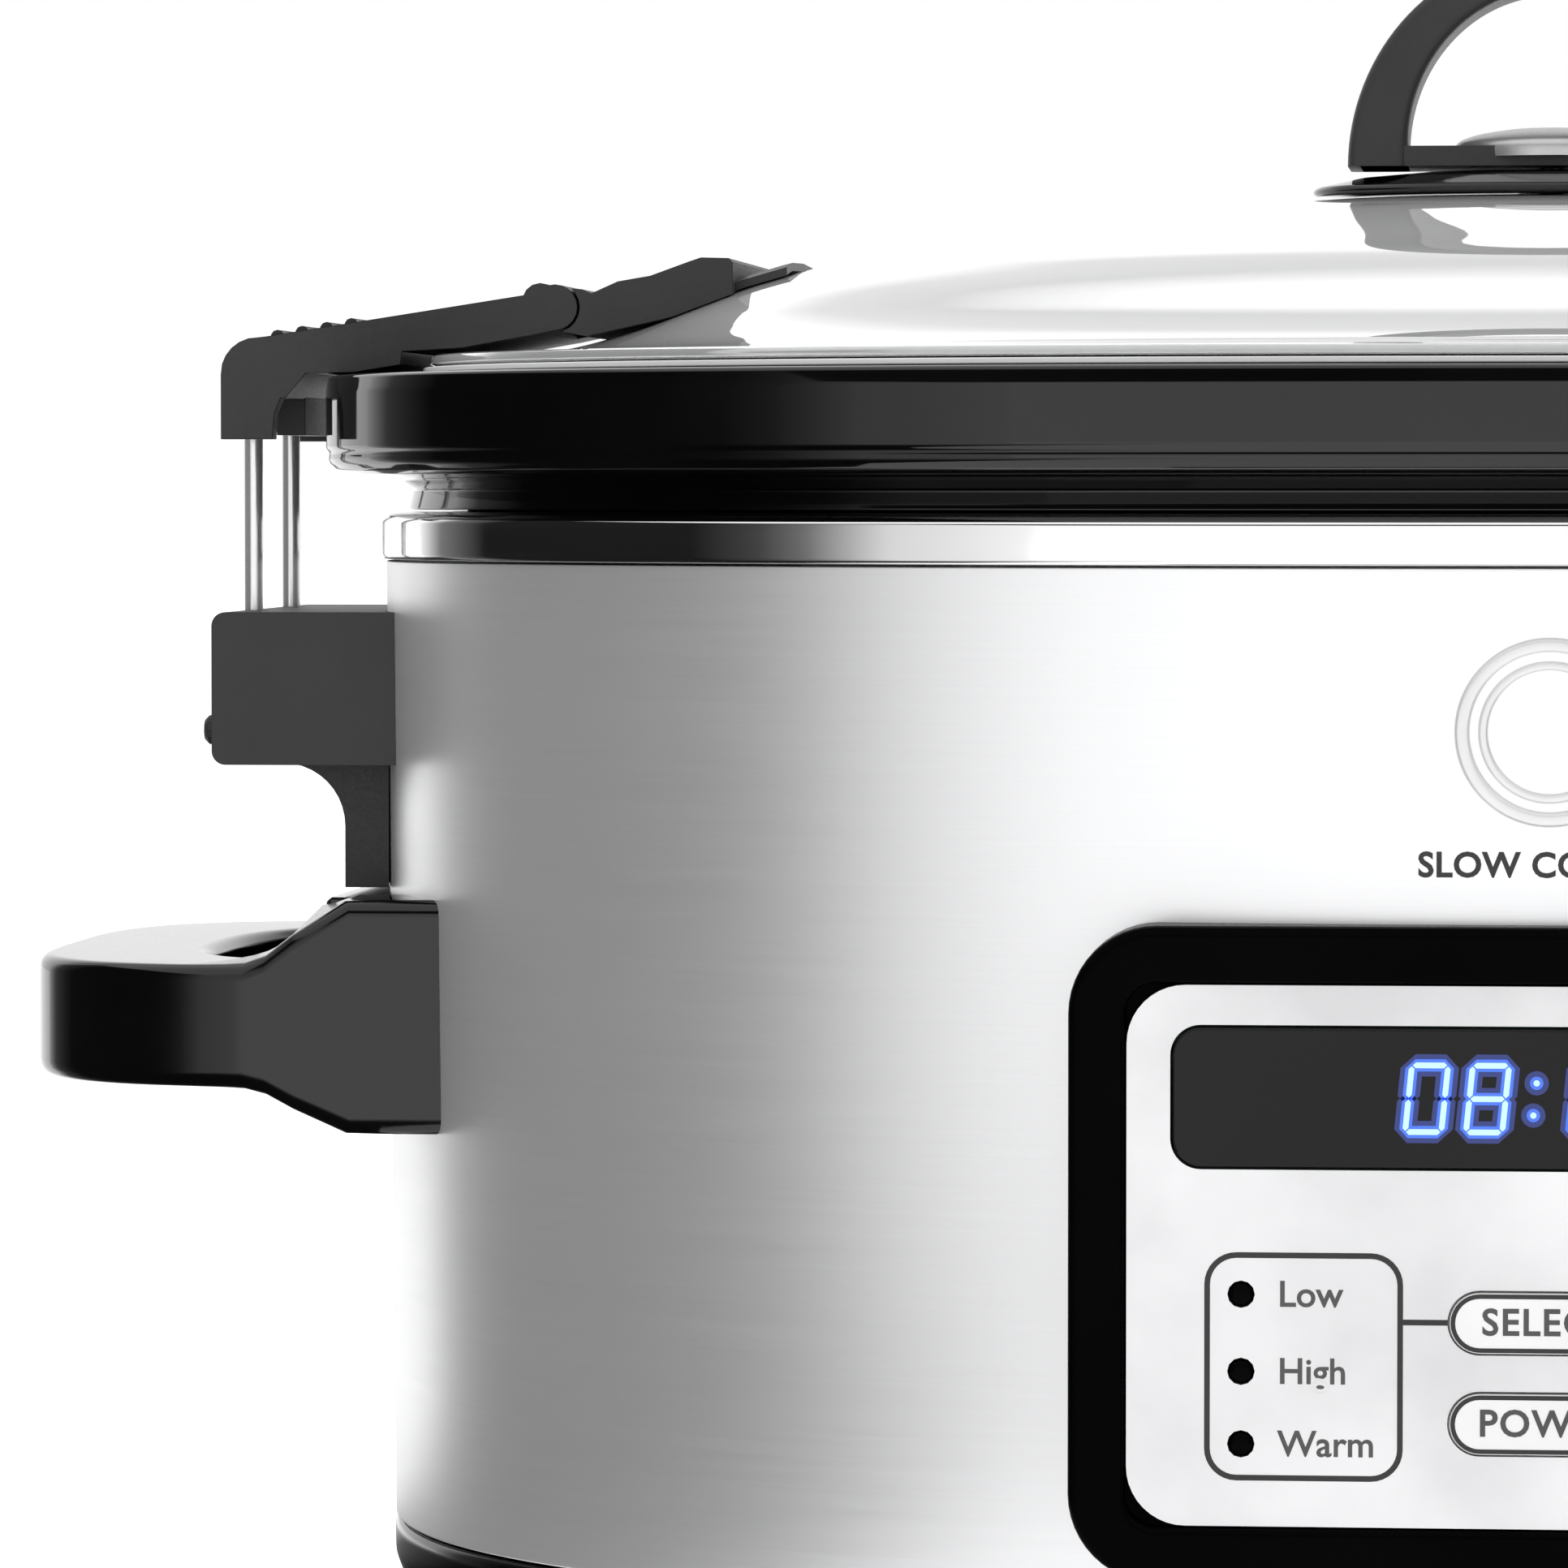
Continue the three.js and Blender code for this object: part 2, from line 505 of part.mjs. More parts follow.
function buildArm(name, side) {
  const out = BRACKET.out;
  const underLid = [[178.6, 185.2], [171.7, 185.3], [164.9, 186.4], [164.6, 188.3], [156, 188.8], [145.8, 190.6]];
  const corner = Array.from({ length: 5 }, (_, i) => {
    const angle = Math.PI / 2 - (Math.PI / 2) * ((i + 1) / 6);
    return [out - 5.4 + 5.4 * Math.cos(angle), 185.2 + 5.2 * Math.sin(angle)];
  });
  const top = [[ARM.hingeX, 197], [147.3, 196.3], [184.4, 190.5], ...corner, [out, 185]];
  const under = [...underLid, [ARM.hingeX, 191.3]];
  const slab = polygon([...top, [out, 181.6], [181.6, 181.6], ...under].reverse());
  const cheek = polygon([
    ...top, [out, 175.7], [183.5, 175.7], [183.2, 179.4], [182.2, 181.9], [180.8, 184], ...under,
  ].reverse());
  const cheeks = [-1, 1].map((way) => {
    const middle = way * (ARM.half - ARM.cheek / 2);
    return extrudeBack(cheek, middle - ARM.cheek / 2, middle + ARM.cheek / 2);
  });
  const midLeg = box(181.4, 185.6, -13, 13, 176.4, 183);
  const ribs = [183.8, 180.2, 176.6, 173].map((x) =>
    roundAlongY(rod(1, -24, 24), x, 190.5 + (184.4 - x) * 0.156, 10));
  const knuckleRoom = ARM.knuckleHalf + GAP;
  const ears = pairAlongY(ARM.knuckle, knuckleRoom, ARM.half, ARM.hingeX, ARM.hingeZ, 20);
  const bumps = pairAlongY(2.6, knuckleRoom, ARM.half, 144.6, 195.5, 14);
  const slotTools = [-BAIL.legY, BAIL.legY].map((y) =>
    box(BAIL.x - 2, 200, y - BAIL.slot, y + BAIL.slot, 170, 200));
  place(`${name}_latch_arm`, cut(
    joined(extrudeBack(slab, -ARM.half, ARM.half), ...cheeks, midLeg, ...ears, ...bumps, ...ribs),
    ...slotTools,
    roundAlongY(rod(ARM.knuckle + GAP, -knuckleRoom, knuckleRoom), ARM.hingeX, ARM.hingeZ, 20),
    box(130, ARM.hingeX + 2, -knuckleRoom, knuckleRoom, 180, 205),
    roundAlongY(rod(BAIL.radius + GAP, -19, 19), BAIL.x, BAIL.high, 12),
    roundAlongY(rod(PIN_R + GAP, -29.5, 29.5), ARM.hingeX, ARM.hingeZ, 12),
  ), satinBlack, side);
  place(`${name}_hinge_pin`, roundAlongY(rod(PIN_R, -29, 29), ARM.hingeX, ARM.hingeZ, 10), wireSteel, side);
}

function buildTip(name, side) {
  const paddle = polygon([
    [117.2, 195], [138, 190.4], [ARM.hingeX, 191.3], [ARM.hingeX, 197.4], [138.6, 197.2],
    [137.2, 196.6], [133.4, 198.3], [128.7, 199.1], [122.9, 201.2], [121.4, 201.7], [117.4, 201.6], [116.8, 201],
    [116.8, 196],
  ]);
  const lip = lidSpace(1.7).intersect(box(109.4, 118, -27, 27, 190, 205));
  const earRooms = pairAlongY(ARM.knuckle + GAP, ARM.knuckleHalf, 40, ARM.hingeX, ARM.hingeZ, 20);
  place(`${name}_latch_tip`, cut(
    joined(
      cut(extrudeBack(paddle, -ARM.half, ARM.half), ...earRooms),
      roundAlongY(rod(ARM.knuckle, -ARM.knuckleHalf, ARM.knuckleHalf), ARM.hingeX, ARM.hingeZ, 20),
      lip,
    ),
    lidSpace(0.5),
    roundAlongY(rod(PIN_R + GAP, -20, 20), ARM.hingeX, ARM.hingeZ, 12),
  ), satinBlack, side);
}

buildHousing();
buildHeating();
buildLid();
buildPanel();
const rightSide = new THREE.Group();
const leftSide = new THREE.Group();
leftSide.rotation.z = Math.PI;
part.add(rightSide, leftSide);
buildSide('right', rightSide);
buildSide('left', leftSide);

export default part;
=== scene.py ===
import json
import math

import bpy
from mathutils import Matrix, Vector


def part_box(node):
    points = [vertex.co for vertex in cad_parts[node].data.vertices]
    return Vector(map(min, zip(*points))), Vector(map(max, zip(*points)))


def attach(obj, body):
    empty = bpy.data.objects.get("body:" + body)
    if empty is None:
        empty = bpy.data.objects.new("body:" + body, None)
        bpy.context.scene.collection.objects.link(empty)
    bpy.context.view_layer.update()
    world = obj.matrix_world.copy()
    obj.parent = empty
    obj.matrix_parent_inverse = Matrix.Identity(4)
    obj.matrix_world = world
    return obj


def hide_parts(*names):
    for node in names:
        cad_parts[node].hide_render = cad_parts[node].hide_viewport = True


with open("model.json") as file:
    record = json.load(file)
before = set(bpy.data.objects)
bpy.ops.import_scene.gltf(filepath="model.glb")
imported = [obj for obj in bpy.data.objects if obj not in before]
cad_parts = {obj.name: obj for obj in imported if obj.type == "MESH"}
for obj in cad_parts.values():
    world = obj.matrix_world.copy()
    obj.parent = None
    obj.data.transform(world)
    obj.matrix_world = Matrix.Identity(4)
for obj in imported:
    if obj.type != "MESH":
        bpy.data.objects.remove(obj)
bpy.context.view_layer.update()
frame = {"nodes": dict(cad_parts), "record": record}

MM = 0.001
OVAL_POWER = 2.35           # plan of the housing: a superellipse
OVAL_DROP = 40 * MM         # its Y semi-axis is this much shorter than its X one
OVAL_FULL = 130 * MM        # from this radius on
ROUND = 192                 # facets round the big oval pieces
PRINT_THICK = 0.04          # mm; printed lines and letters stand this far proud
PRINT_GAP = 0.004           # mm; a print's back lies this far in front of its face
PANEL_HALF = 52             # mm; half the width of the panel's opening in the wall
PANEL_LOW, PANEL_HIGH = 37, 100     # mm; heights of that opening's edges
PLATE_BACK = -132.5         # mm; the Y of the panel plate's plane that keys and lamps sit in


# ---------------------------------------------------------------- node-based materials
def new_material(name):
    material = bpy.data.materials.new(name)
    material.use_nodes = True
    return material, material.node_tree.nodes, material.node_tree.links


def position_scaled(nodes, links, scale):
    coords = nodes.new("ShaderNodeTexCoord")
    mapping = nodes.new("ShaderNodeMapping")
    mapping.inputs["Scale"].default_value = scale
    links.new(coords.outputs["Object"], mapping.inputs["Vector"])
    return mapping.outputs["Vector"]


def noise(nodes, links, scale, detail=3.0, stretch=(1, 1, 1), rough=0.5):
    texture = nodes.new("ShaderNodeTexNoise")
    texture.inputs["Scale"].default_value = scale
    texture.inputs["Detail"].default_value = detail
    texture.inputs["Roughness"].default_value = rough
    links.new(position_scaled(nodes, links, stretch), texture.inputs["Vector"])
    return texture.outputs["Fac"]


def ramp(nodes, links, value, stops):
    node = nodes.new("ShaderNodeValToRGB")
    while len(node.color_ramp.elements) < len(stops):
        node.color_ramp.elements.new(0.5)
    for element, (place, colour) in zip(node.color_ramp.elements, stops):
        element.position = place
        element.color = (*colour, 1)
    links.new(value, node.inputs["Fac"])
    return node.outputs["Color"]


def spread(nodes, links, value, low, high):
    node = nodes.new("ShaderNodeMapRange")
    node.inputs["From Min"].default_value = 0.3
    node.inputs["From Max"].default_value = 0.7
    node.inputs["To Min"].default_value = low
    node.inputs["To Max"].default_value = high
    links.new(value, node.inputs["Value"])
    return node.outputs["Result"]


def bump(nodes, links, value, strength, distance):
    node = nodes.new("ShaderNodeBump")
    node.inputs["Strength"].default_value = strength
    node.inputs["Distance"].default_value = distance
    links.new(value, node.inputs["Height"])
    return node.outputs["Normal"]


def shade(name, dark, light, rough, metallic=0.0, grain=900, stretch=(1, 1, 1), depth=0.02, strength=0.3,
          blotch=30, coat=0.0, specular=0.5):
    """Two close colours in soft blotches, a fine grain in the roughness, and the same grain as bump."""
    material, nodes, links = new_material(name)
    shader = nodes["Principled BSDF"]
    shader.inputs["Metallic"].default_value = metallic
    shader.inputs["Specular IOR Level"].default_value = specular
    shader.inputs["Coat Weight"].default_value = coat
    shader.inputs["Coat Roughness"].default_value = 0.04
    blotches = noise(nodes, links, blotch, 4.0, stretch)
    links.new(ramp(nodes, links, blotches, [(0.35, dark), (0.65, light)]), shader.inputs["Base Color"])
    fine = noise(nodes, links, grain, 2.0, stretch)
    links.new(spread(nodes, links, fine, *rough), shader.inputs["Roughness"])
    links.new(bump(nodes, links, fine, strength, depth * MM), shader.inputs["Normal"])
    return material


def grey(value):
    return (value, value, value)


def glow(name, colour, strength):
    material, nodes, _ = new_material(name)
    shader = nodes["Principled BSDF"]
    shader.inputs["Base Color"].default_value = (*colour, 1)
    shader.inputs["Emission Color"].default_value = (*colour, 1)
    shader.inputs["Emission Strength"].default_value = strength
    shader.inputs["Roughness"].default_value = 0.4
    return material


def brushed(name, dark, light, rough, lines, anisotropic):
    """Steel brushed round the housing: hair lines that run level round it."""
    material, nodes, links = new_material(name)
    shader = nodes["Principled BSDF"]
    shader.inputs["Metallic"].default_value = 0.76
    shader.inputs["Anisotropic"].default_value = anisotropic
    hair = noise(nodes, links, lines, 5.0, (0.012, 0.012, 1), 0.7)
    long_streaks = noise(nodes, links, lines * 0.2, 3.0, (0.05, 0.05, 1), 0.6)
    both = nodes.new("ShaderNodeMath")
    both.operation = "MULTIPLY_ADD"
    both.inputs[1].default_value = 0.6
    links.new(hair, both.inputs[0])
    scaled = nodes.new("ShaderNodeMath")
    scaled.operation = "MULTIPLY"
    scaled.inputs[1].default_value = 0.4
    links.new(long_streaks, scaled.inputs[0])
    links.new(scaled.outputs[0], both.inputs[2])
    links.new(ramp(nodes, links, both.outputs[0], [(0.3, dark), (0.7, light)]), shader.inputs["Base Color"])
    links.new(spread(nodes, links, both.outputs[0], *rough), shader.inputs["Roughness"])
    links.new(bump(nodes, links, hair, 0.05, 0.01 * MM), shader.inputs["Normal"])
    tangent = nodes.new("ShaderNodeTangent")
    tangent.direction_type = "RADIAL"
    tangent.axis = "Z"
    links.new(tangent.outputs["Tangent"], shader.inputs["Tangent"])
    return material


steel = brushed("brushed_steel", (0.84, 0.842, 0.85), (0.88, 0.883, 0.892), (0.29, 0.34), 2600, 0.3)
bright_steel = shade("bright_steel", grey(0.8), grey(0.88), (0.05, 0.1), 1.0, 500, (0.05, 0.05, 1), 0.004)
wire_steel = shade("wire_steel", grey(0.84), grey(0.92), (0.14, 0.22), 0.75, 3000, (1, 1, 0.05), 0.003)
gloss_black = shade("gloss_black", grey(0.0015), grey(0.0025), (0.07, 0.11), 0, 1600, depth=0.004, blotch=60)
satin_black = shade("satin_black", grey(0.026), grey(0.034), (0.4, 0.55), 0, 2600, depth=0.03, strength=0.35,
                    specular=0.4)
# Painted highlight: the lid seal is a real part, but its near-white colour stands in for the bright highlight
# line along the lid's edge.
pale_silicone = shade("pale_silicone", grey(0.9), grey(0.95), (0.4, 0.5), 0, 1800, depth=0.01)
rubber_black = shade("rubber_black", grey(0.012), grey(0.02), (0.6, 0.8), 0, 1800, depth=0.03)
glaze = shade("black_glaze", grey(0.0012), grey(0.002), (0.03, 0.07), 0, 120, depth=0.02, strength=0.15,
              blotch=40, coat=0.08)
# Painted reflection: the wide blotches from darker to lighter grey stand in for the soft grey reflections
# across the silver panel plate.
silver = shade("silver_paint_painted_reflections", (0.62, 0.62, 0.63), (0.84, 0.84, 0.85), (0.3, 0.38), 0.75, 4000, depth=0.008,
               blotch=20)
badge_silver = shade("badge_silver", grey(0.74), grey(0.78), (0.35, 0.4), 0.5, 3000, depth=0.004)
key_silver = shade("key_silver", grey(0.78), grey(0.86), (0.35, 0.45), 0.2, 4000, depth=0.008)
smoke = shade("smoked_window", grey(0.007), grey(0.009), (0.08, 0.12), 0, 1500, depth=0.003, specular=0.18)
lens_black = shade("lens_black", grey(0.001), grey(0.0015), (0.2, 0.3), 0, 1500, depth=0.003, specular=0.02)
frame_black = shade("frame_black", grey(0.001), grey(0.0015), (0.2, 0.3), 0, 1500, depth=0.003,
                    specular=0.012)
edge_black = shade("edge_black", grey(0.003), grey(0.005), (0.5, 0.6), 0, 2600, depth=0.01, specular=0.1)
mica = shade("mica", (0.42, 0.31, 0.16), (0.62, 0.5, 0.3), (0.5, 0.7), 0, 700, depth=0.05)
wool = shade("glass_wool", (0.7, 0.63, 0.48), (0.9, 0.86, 0.74), (0.85, 1.0), 0, 1500, depth=0.2,
             strength=0.8)
cast_alu = shade("aluminium", grey(0.5), grey(0.62), (0.35, 0.5), 1.0, 1500, depth=0.01)
board = shade("board_green", (0.015, 0.09, 0.03), (0.03, 0.16, 0.06), (0.35, 0.5), 0, 1200, depth=0.01)
ink = shade("printed_ink", grey(0.012), grey(0.022), (0.4, 0.55), 0, 3000, depth=0.002)
grey_ink = shade("printed_grey", grey(0.055), grey(0.075), (0.4, 0.55), 0, 3000, depth=0.002)
digit_core = glow("digit_core", (0.33, 0.5, 0.95), 0.85)
# Painted glow: the halo and haze materials light the window round each digit, standing in for the glow the
# lit digits spread in the smoked window.
digit_halo = glow("digit_halo", (0.04, 0.12, 0.62), 0.6)
digit_glow_haze = glow("digit_glow_haze", (0.012, 0.022, 0.12), 0.7)


def clear_glass():
    material, nodes, links = new_material("lid_glass")
    shader = nodes["Principled BSDF"]
    shader.inputs["Transmission Weight"].default_value = 0.55
    shader.inputs["IOR"].default_value = 1.6
    shader.inputs["Specular IOR Level"].default_value = 0.5
    smudge = noise(nodes, links, 18, 4.0)
    links.new(ramp(nodes, links, smudge, [(0.3, (0.95, 0.96, 0.96)), (0.7, (0.98, 0.985, 0.985))]),
              shader.inputs["Base Color"])
    links.new(spread(nodes, links, smudge, 0.0, 0.03), shader.inputs["Roughness"])
    links.new(bump(nodes, links, noise(nodes, links, 9, 1.0), 0.1, 0.05 * MM), shader.inputs["Normal"])
    return material


cap_metal = shade("cap_metal", grey(0.55), grey(0.62), (0.3, 0.4), 0.7, 2000, depth=0.006)
lid_clear = clear_glass()

SLOT_FINISH = {
    "brushed_steel": steel, "polished_steel": bright_steel, "wire_steel": wire_steel,
    "gloss_black": gloss_black, "satin_black": satin_black, "rubber_black": rubber_black,
    "stoneware": glaze, "pale_silicone": pale_silicone, "clear_glass": lid_clear,
    "silver_plate": silver, "silver_button": key_silver, "dark_window": smoke,
    "mica": mica, "wool": wool, "aluminium": cast_alu, "board_green": board,
}
NODE_SLOT = {row["node"]: row["material_slot"] for row in frame["record"]["subparts"]}
for node_name, node_object in frame["nodes"].items():
    node_object.data.materials.clear()
    node_object.data.materials.append(SLOT_FINISH[NODE_SLOT[node_name]])
NODE_BODY = {
    node: body for body, nodes in frame["record"]["behaviour"]["bodies"].items() for node in nodes
}


# ---------------------------------------------------------------- mesh helpers
def add_piece(name, points, faces, finish, body, slot, smooth=35):
    mesh = bpy.data.meshes.new(name)
    mesh.from_pydata([tuple(p) for p in points], [], faces)
    mesh.validate()
    mesh.update()
    piece = bpy.data.objects.new(name, mesh)
    bpy.context.scene.collection.objects.link(piece)
    return dress(piece, finish, body, smooth)


def dress(piece, finish, body, smooth):
    mesh = piece.data
    mesh.shade_smooth()
    mesh.set_sharp_from_angle(angle=math.radians(smooth))
    mesh.materials.clear()
    mesh.materials.append(finish)
    even = piece.modifiers.new("even_normals", "WEIGHTED_NORMAL")
    even.keep_sharp = True
    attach(piece, body)
    return piece


def stand_for(piece, *nodes):
    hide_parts(*nodes)
    return piece


def bezier_corner(before, corner, after, radius, steps):
    (bx, by), (cx, cy), (ax, ay) = before, corner, after
    back = math.hypot(bx - cx, by - cy)
    ahead = math.hypot(ax - cx, ay - cy)
    back_cut = min(radius, 0.45 * back)
    ahead_cut = min(radius, 0.45 * ahead)
    sx, sy = cx + (bx - cx) * back_cut / back, cy + (by - cy) * back_cut / back
    ex, ey = cx + (ax - cx) * ahead_cut / ahead, cy + (ay - cy) * ahead_cut / ahead
    out = []
    for i in range(steps + 1):
        t = i / steps
        u = 1 - t
        out.append((u * u * sx + 2 * u * t * cx + t * t * ex, u * u * sy + 2 * u * t * cy + t * t * ey))
    return out


def soften(outline, radius, steps=4, closed=True):
    """Rounds every corner of an outline; an open one keeps its two ends."""
    count = len(outline)
    out = []
    for i, corner in enumerate(outline):
        if not closed and i in (0, count - 1):
            out.append(corner)
        else:
            out += bezier_corner(outline[i - 1], corner, outline[(i + 1) % count], radius, steps)
    return out


def oval_point(radius, angle):
    if radius < 1e-9:
        return 0.0, 0.0
    short = radius - OVAL_DROP * min(1, radius / OVAL_FULL)
    across = abs(math.cos(angle) / radius) ** OVAL_POWER
    along = abs(math.sin(angle) / short) ** OVAL_POWER
    reach = (across + along) ** (-1 / OVAL_POWER)
    return reach * math.cos(angle), reach * math.sin(angle)


def round_point(radius, angle):
    return radius * math.cos(angle), radius * math.sin(angle)


def turned(profile, closed, point=oval_point, steps=ROUND, hole=None):
    """Points and faces of a profile of (radius, height) in mm, turned about Z."""
    points = []
    rings = []
    for radius, height in profile:
        if radius < 1e-6:
            rings.append([len(points)] * steps)
            points.append((0, 0, height * MM))
            continue
        rings.append(list(range(len(points), len(points) + steps)))
        for i in range(steps):
            x, y = point(radius * MM, 2 * math.pi * i / steps)
            points.append((x, y, height * MM))
    faces = []
    pairs = list(zip(rings, rings[1:])) + ([(rings[-1], rings[0])] if closed else [])
    for low, high in pairs:
        for i in range(steps):
            j = (i + 1) % steps
            corners = [low[i], low[j], high[j], high[i]]
            corners = [c for n, c in enumerate(corners) if c not in corners[:n]]
            if len(corners) < 3 or (hole and hole([points[c] for c in corners])):
                continue
            faces.append(corners)
    return points, faces


def oval_piece(name, profile, finish, node, closed=True, radius=0.6, hole=None):
    outline = soften(profile, radius, 4, closed)
    points, faces = turned(outline, closed, hole=hole)
    return stand_for(add_piece(name, points, faces, finish, NODE_BODY[node], NODE_SLOT[node]), node)


def moved(points, turn, offset):
    return [tuple(turn(Vector(p)) + Vector(offset)) for p in points]


def rounded_rect(half_width, low, high, corner, arc=8):
    """Outline of (x, z) in mm, counter-clockwise from the bottom right."""
    points = []
    centres = [(half_width - corner, low + corner, -90), (half_width - corner, high - corner, 0),
               (-half_width + corner, high - corner, 90), (-half_width + corner, low + corner, 180)]
    for cx, cz, start in centres:
        for i in range(arc + 1):
            angle = math.radians(start + 90 * i / arc)
            points.append((cx + corner * math.cos(angle), cz + corner * math.sin(angle)))
    return points


def ring_stack(outlines, depths, closed, centre=(0, 0)):
    """Joins equal outlines of (x, z) at the given Y depths, all in mm."""
    points = []
    for outline, depth in zip(outlines, depths):
        points += [((x + centre[0]) * MM, depth * MM, (z + centre[1]) * MM) for x, z in outline]
    count = len(outlines[0])
    layers = len(outlines)
    faces = []
    for k in range(layers if closed else layers - 1):
        a, b = k * count, (k + 1) % layers * count
        faces += [(a + i, a + (i + 1) % count, b + (i + 1) % count, b + i) for i in range(count)]
    if not closed:
        faces.append(tuple(reversed(range(count))))
        faces.append(tuple(range((layers - 1) * count, layers * count)))
    return points, faces


def refined(node, edge, edge_finish=None):
    """A copy of a CAD node with its flat faces merged and its edges rounded."""
    source = frame["nodes"][node]
    piece = bpy.data.objects.new(f"{node}_moulded", source.data.copy())
    bpy.context.scene.collection.objects.link(piece)
    bpy.context.view_layer.objects.active = piece
    weld = piece.modifiers.new("weld", "WELD")
    weld.merge_threshold = 0.02 * MM
    flat = piece.modifiers.new("flat", "DECIMATE")
    flat.decimate_type = "DISSOLVE"
    flat.angle_limit = math.radians(1.0)
    rounding = piece.modifiers.new("rounding", "BEVEL")
    rounding.width = edge * MM
    rounding.segments = 3
    rounding.limit_method = "ANGLE"
    rounding.angle_limit = math.radians(28)
    if edge_finish:
        piece.data.materials.append(edge_finish)
        rounding.material = 1
    graph = bpy.context.evaluated_depsgraph_get()
    made = bpy.data.meshes.new_from_object(piece.evaluated_get(graph))
    piece.modifiers.clear()
    piece.data = made
    edge_faces = [face.index for face in made.polygons if face.material_index == 1]
    dress(piece, SLOT_FINISH[NODE_SLOT[node]], NODE_BODY[node], 30)
    if edge_faces:
        made.materials.append(edge_finish)
        for index in edge_faces:
            made.polygons[index].material_index = 1
    return stand_for(piece, node)


# ---------------------------------------------------------------- camera, light and stage
def aim(thing, target):
    thing.rotation_euler = (Vector(target) - thing.location).to_track_quat("-Z", "Y").to_euler()


LENS, SENSOR = 189.7, 36                    # mm
CAMERA_PLACE = (0, -1.211, 0.1687)          # about 1.2 m in front, a little above the wall's middle
CAMERA_TARGET = (-0.1123, 0, 0.1251)


def build_camera():
    data = bpy.data.cameras.new("camera")
    data.lens = LENS
    data.sensor_width = SENSOR
    camera = bpy.data.objects.new("camera", data)
    camera.location = CAMERA_PLACE
    aim(camera, CAMERA_TARGET)
    bpy.context.scene.collection.objects.link(camera)
    bpy.context.scene.camera = camera


def build_world():
    """A white tent with a dark band above its front half and a grey one above its back half.

    Only reflections show the bands; all other light is plain white.
    """
    world = bpy.data.worlds.new("studio")
    bpy.context.scene.world = world
    world.use_nodes = True
    nodes, links = world.node_tree.nodes, world.node_tree.links
    background = nodes["Background"]
    coords = nodes.new("ShaderNodeTexCoord")
    split = nodes.new("ShaderNodeSeparateXYZ")
    links.new(coords.outputs["Generated"], split.inputs[0])
    front = ramp(nodes, links, split.outputs["Z"], [
        (0.0, grey(1.0)), (0.2, grey(1.0)), (0.25, grey(0.03)), (0.42, grey(0.03)), (0.47, grey(1.0)),
    ])
    back = ramp(nodes, links, split.outputs["Z"], [
        (0.0, grey(1.0)), (0.42, grey(1.0)), (0.52, grey(0.62)), (0.66, grey(0.5)), (0.8, grey(1.0)),
    ])
    behind = nodes.new("ShaderNodeMapRange")
    behind.inputs["From Min"].default_value = -0.1
    behind.inputs["From Max"].default_value = 0.1
    links.new(split.outputs["Y"], behind.inputs["Value"])
    halves = nodes.new("ShaderNodeMixRGB")
    links.new(behind.outputs["Result"], halves.inputs["Fac"])
    links.new(front, halves.inputs[1])
    links.new(back, halves.inputs[2])
    plain = nodes.new("ShaderNodeBackground")
    plain.inputs["Color"].default_value = (1, 1, 1, 1)
    plain.inputs["Strength"].default_value = 1.0
    links.new(halves.outputs[0], background.inputs["Color"])
    background.inputs["Strength"].default_value = 1.12
    path = nodes.new("ShaderNodeLightPath")
    mix = nodes.new("ShaderNodeMixShader")
    links.new(path.outputs["Is Glossy Ray"], mix.inputs["Fac"])
    links.new(plain.outputs[0], mix.inputs[1])
    links.new(background.outputs[0], mix.inputs[2])
    links.new(mix.outputs[0], nodes["World Output"].inputs["Surface"])


def build_floor():
    bpy.ops.mesh.primitive_plane_add(size=40, location=(0, 0, 0))
    floor = bpy.context.object
    floor.name = "floor"
    material, nodes, links = new_material("pale_floor")
    shader = nodes["Principled BSDF"]
    cloud = noise(nodes, links, 3, 2.0)
    links.new(ramp(nodes, links, cloud, [(0.3, grey(0.88)), (0.7, grey(0.92))]), shader.inputs["Base Color"])
    shader.inputs["Roughness"].default_value = 0.6
    shader.inputs["Specular IOR Level"].default_value = 0.1
    shader.inputs["Emission Color"].default_value = (1, 1, 1, 1)
    shader.inputs["Emission Strength"].default_value = 0.5
    floor.data.materials.append(material)


def build_card(way):
    """A dark card beside the cooker, pale at both ends, with a strip on the floor in to its wall.

    Only reflections show it.
    """
    near, far, top = -0.62, 0.13, 0.3
    wall_side, card_side, off_floor = 0.176, 0.36, 0.0015
    profile = [(wall_side, off_floor), (card_side, off_floor), (card_side, top)]
    mesh = bpy.data.meshes.new("card")
    corners = [(way * x, y, z) for x, z in profile for y in (near, far)]
    mesh.from_pydata(corners, [], [(0, 1, 3, 2), (2, 3, 5, 4)])
    card = bpy.data.objects.new(f"grey_card_{'right' if way > 0 else 'left'}", mesh)
    bpy.context.scene.collection.objects.link(card)
    material, nodes, links = new_material("grey_card")
    coords = nodes.new("ShaderNodeTexCoord")
    split = nodes.new("ShaderNodeSeparateXYZ")
    links.new(coords.outputs["Object"], split.inputs[0])
    along = nodes.new("ShaderNodeMapRange")
    along.inputs["From Min"].default_value = near
    along.inputs["From Max"].default_value = far
    links.new(split.outputs["Y"], along.inputs["Value"])
    tone = ramp(nodes, links, along.outputs["Result"], [
        (0.0, grey(1.05)), (0.29, grey(0.78)), (0.36, grey(0.42)), (0.413, grey(0.17)), (0.473, grey(0.06)),
        (0.555, grey(0.012)), (0.827, grey(0.012)), (0.929, grey(0.2)), (1.0, grey(1.0)),
    ])
    light = nodes.new("ShaderNodeEmission")
    links.new(tone, light.inputs["Color"])
    nodes.remove(nodes["Principled BSDF"])
    links.new(light.outputs[0], nodes["Material Output"].inputs["Surface"])
    mesh.materials.append(material)
    card.visible_camera = False
    card.visible_diffuse = False
    card.visible_transmission = False
    card.visible_shadow = False


build_camera()
build_world()
build_floor()
build_card(-1)
build_card(1)
bpy.context.scene.view_settings.view_transform = "Standard"


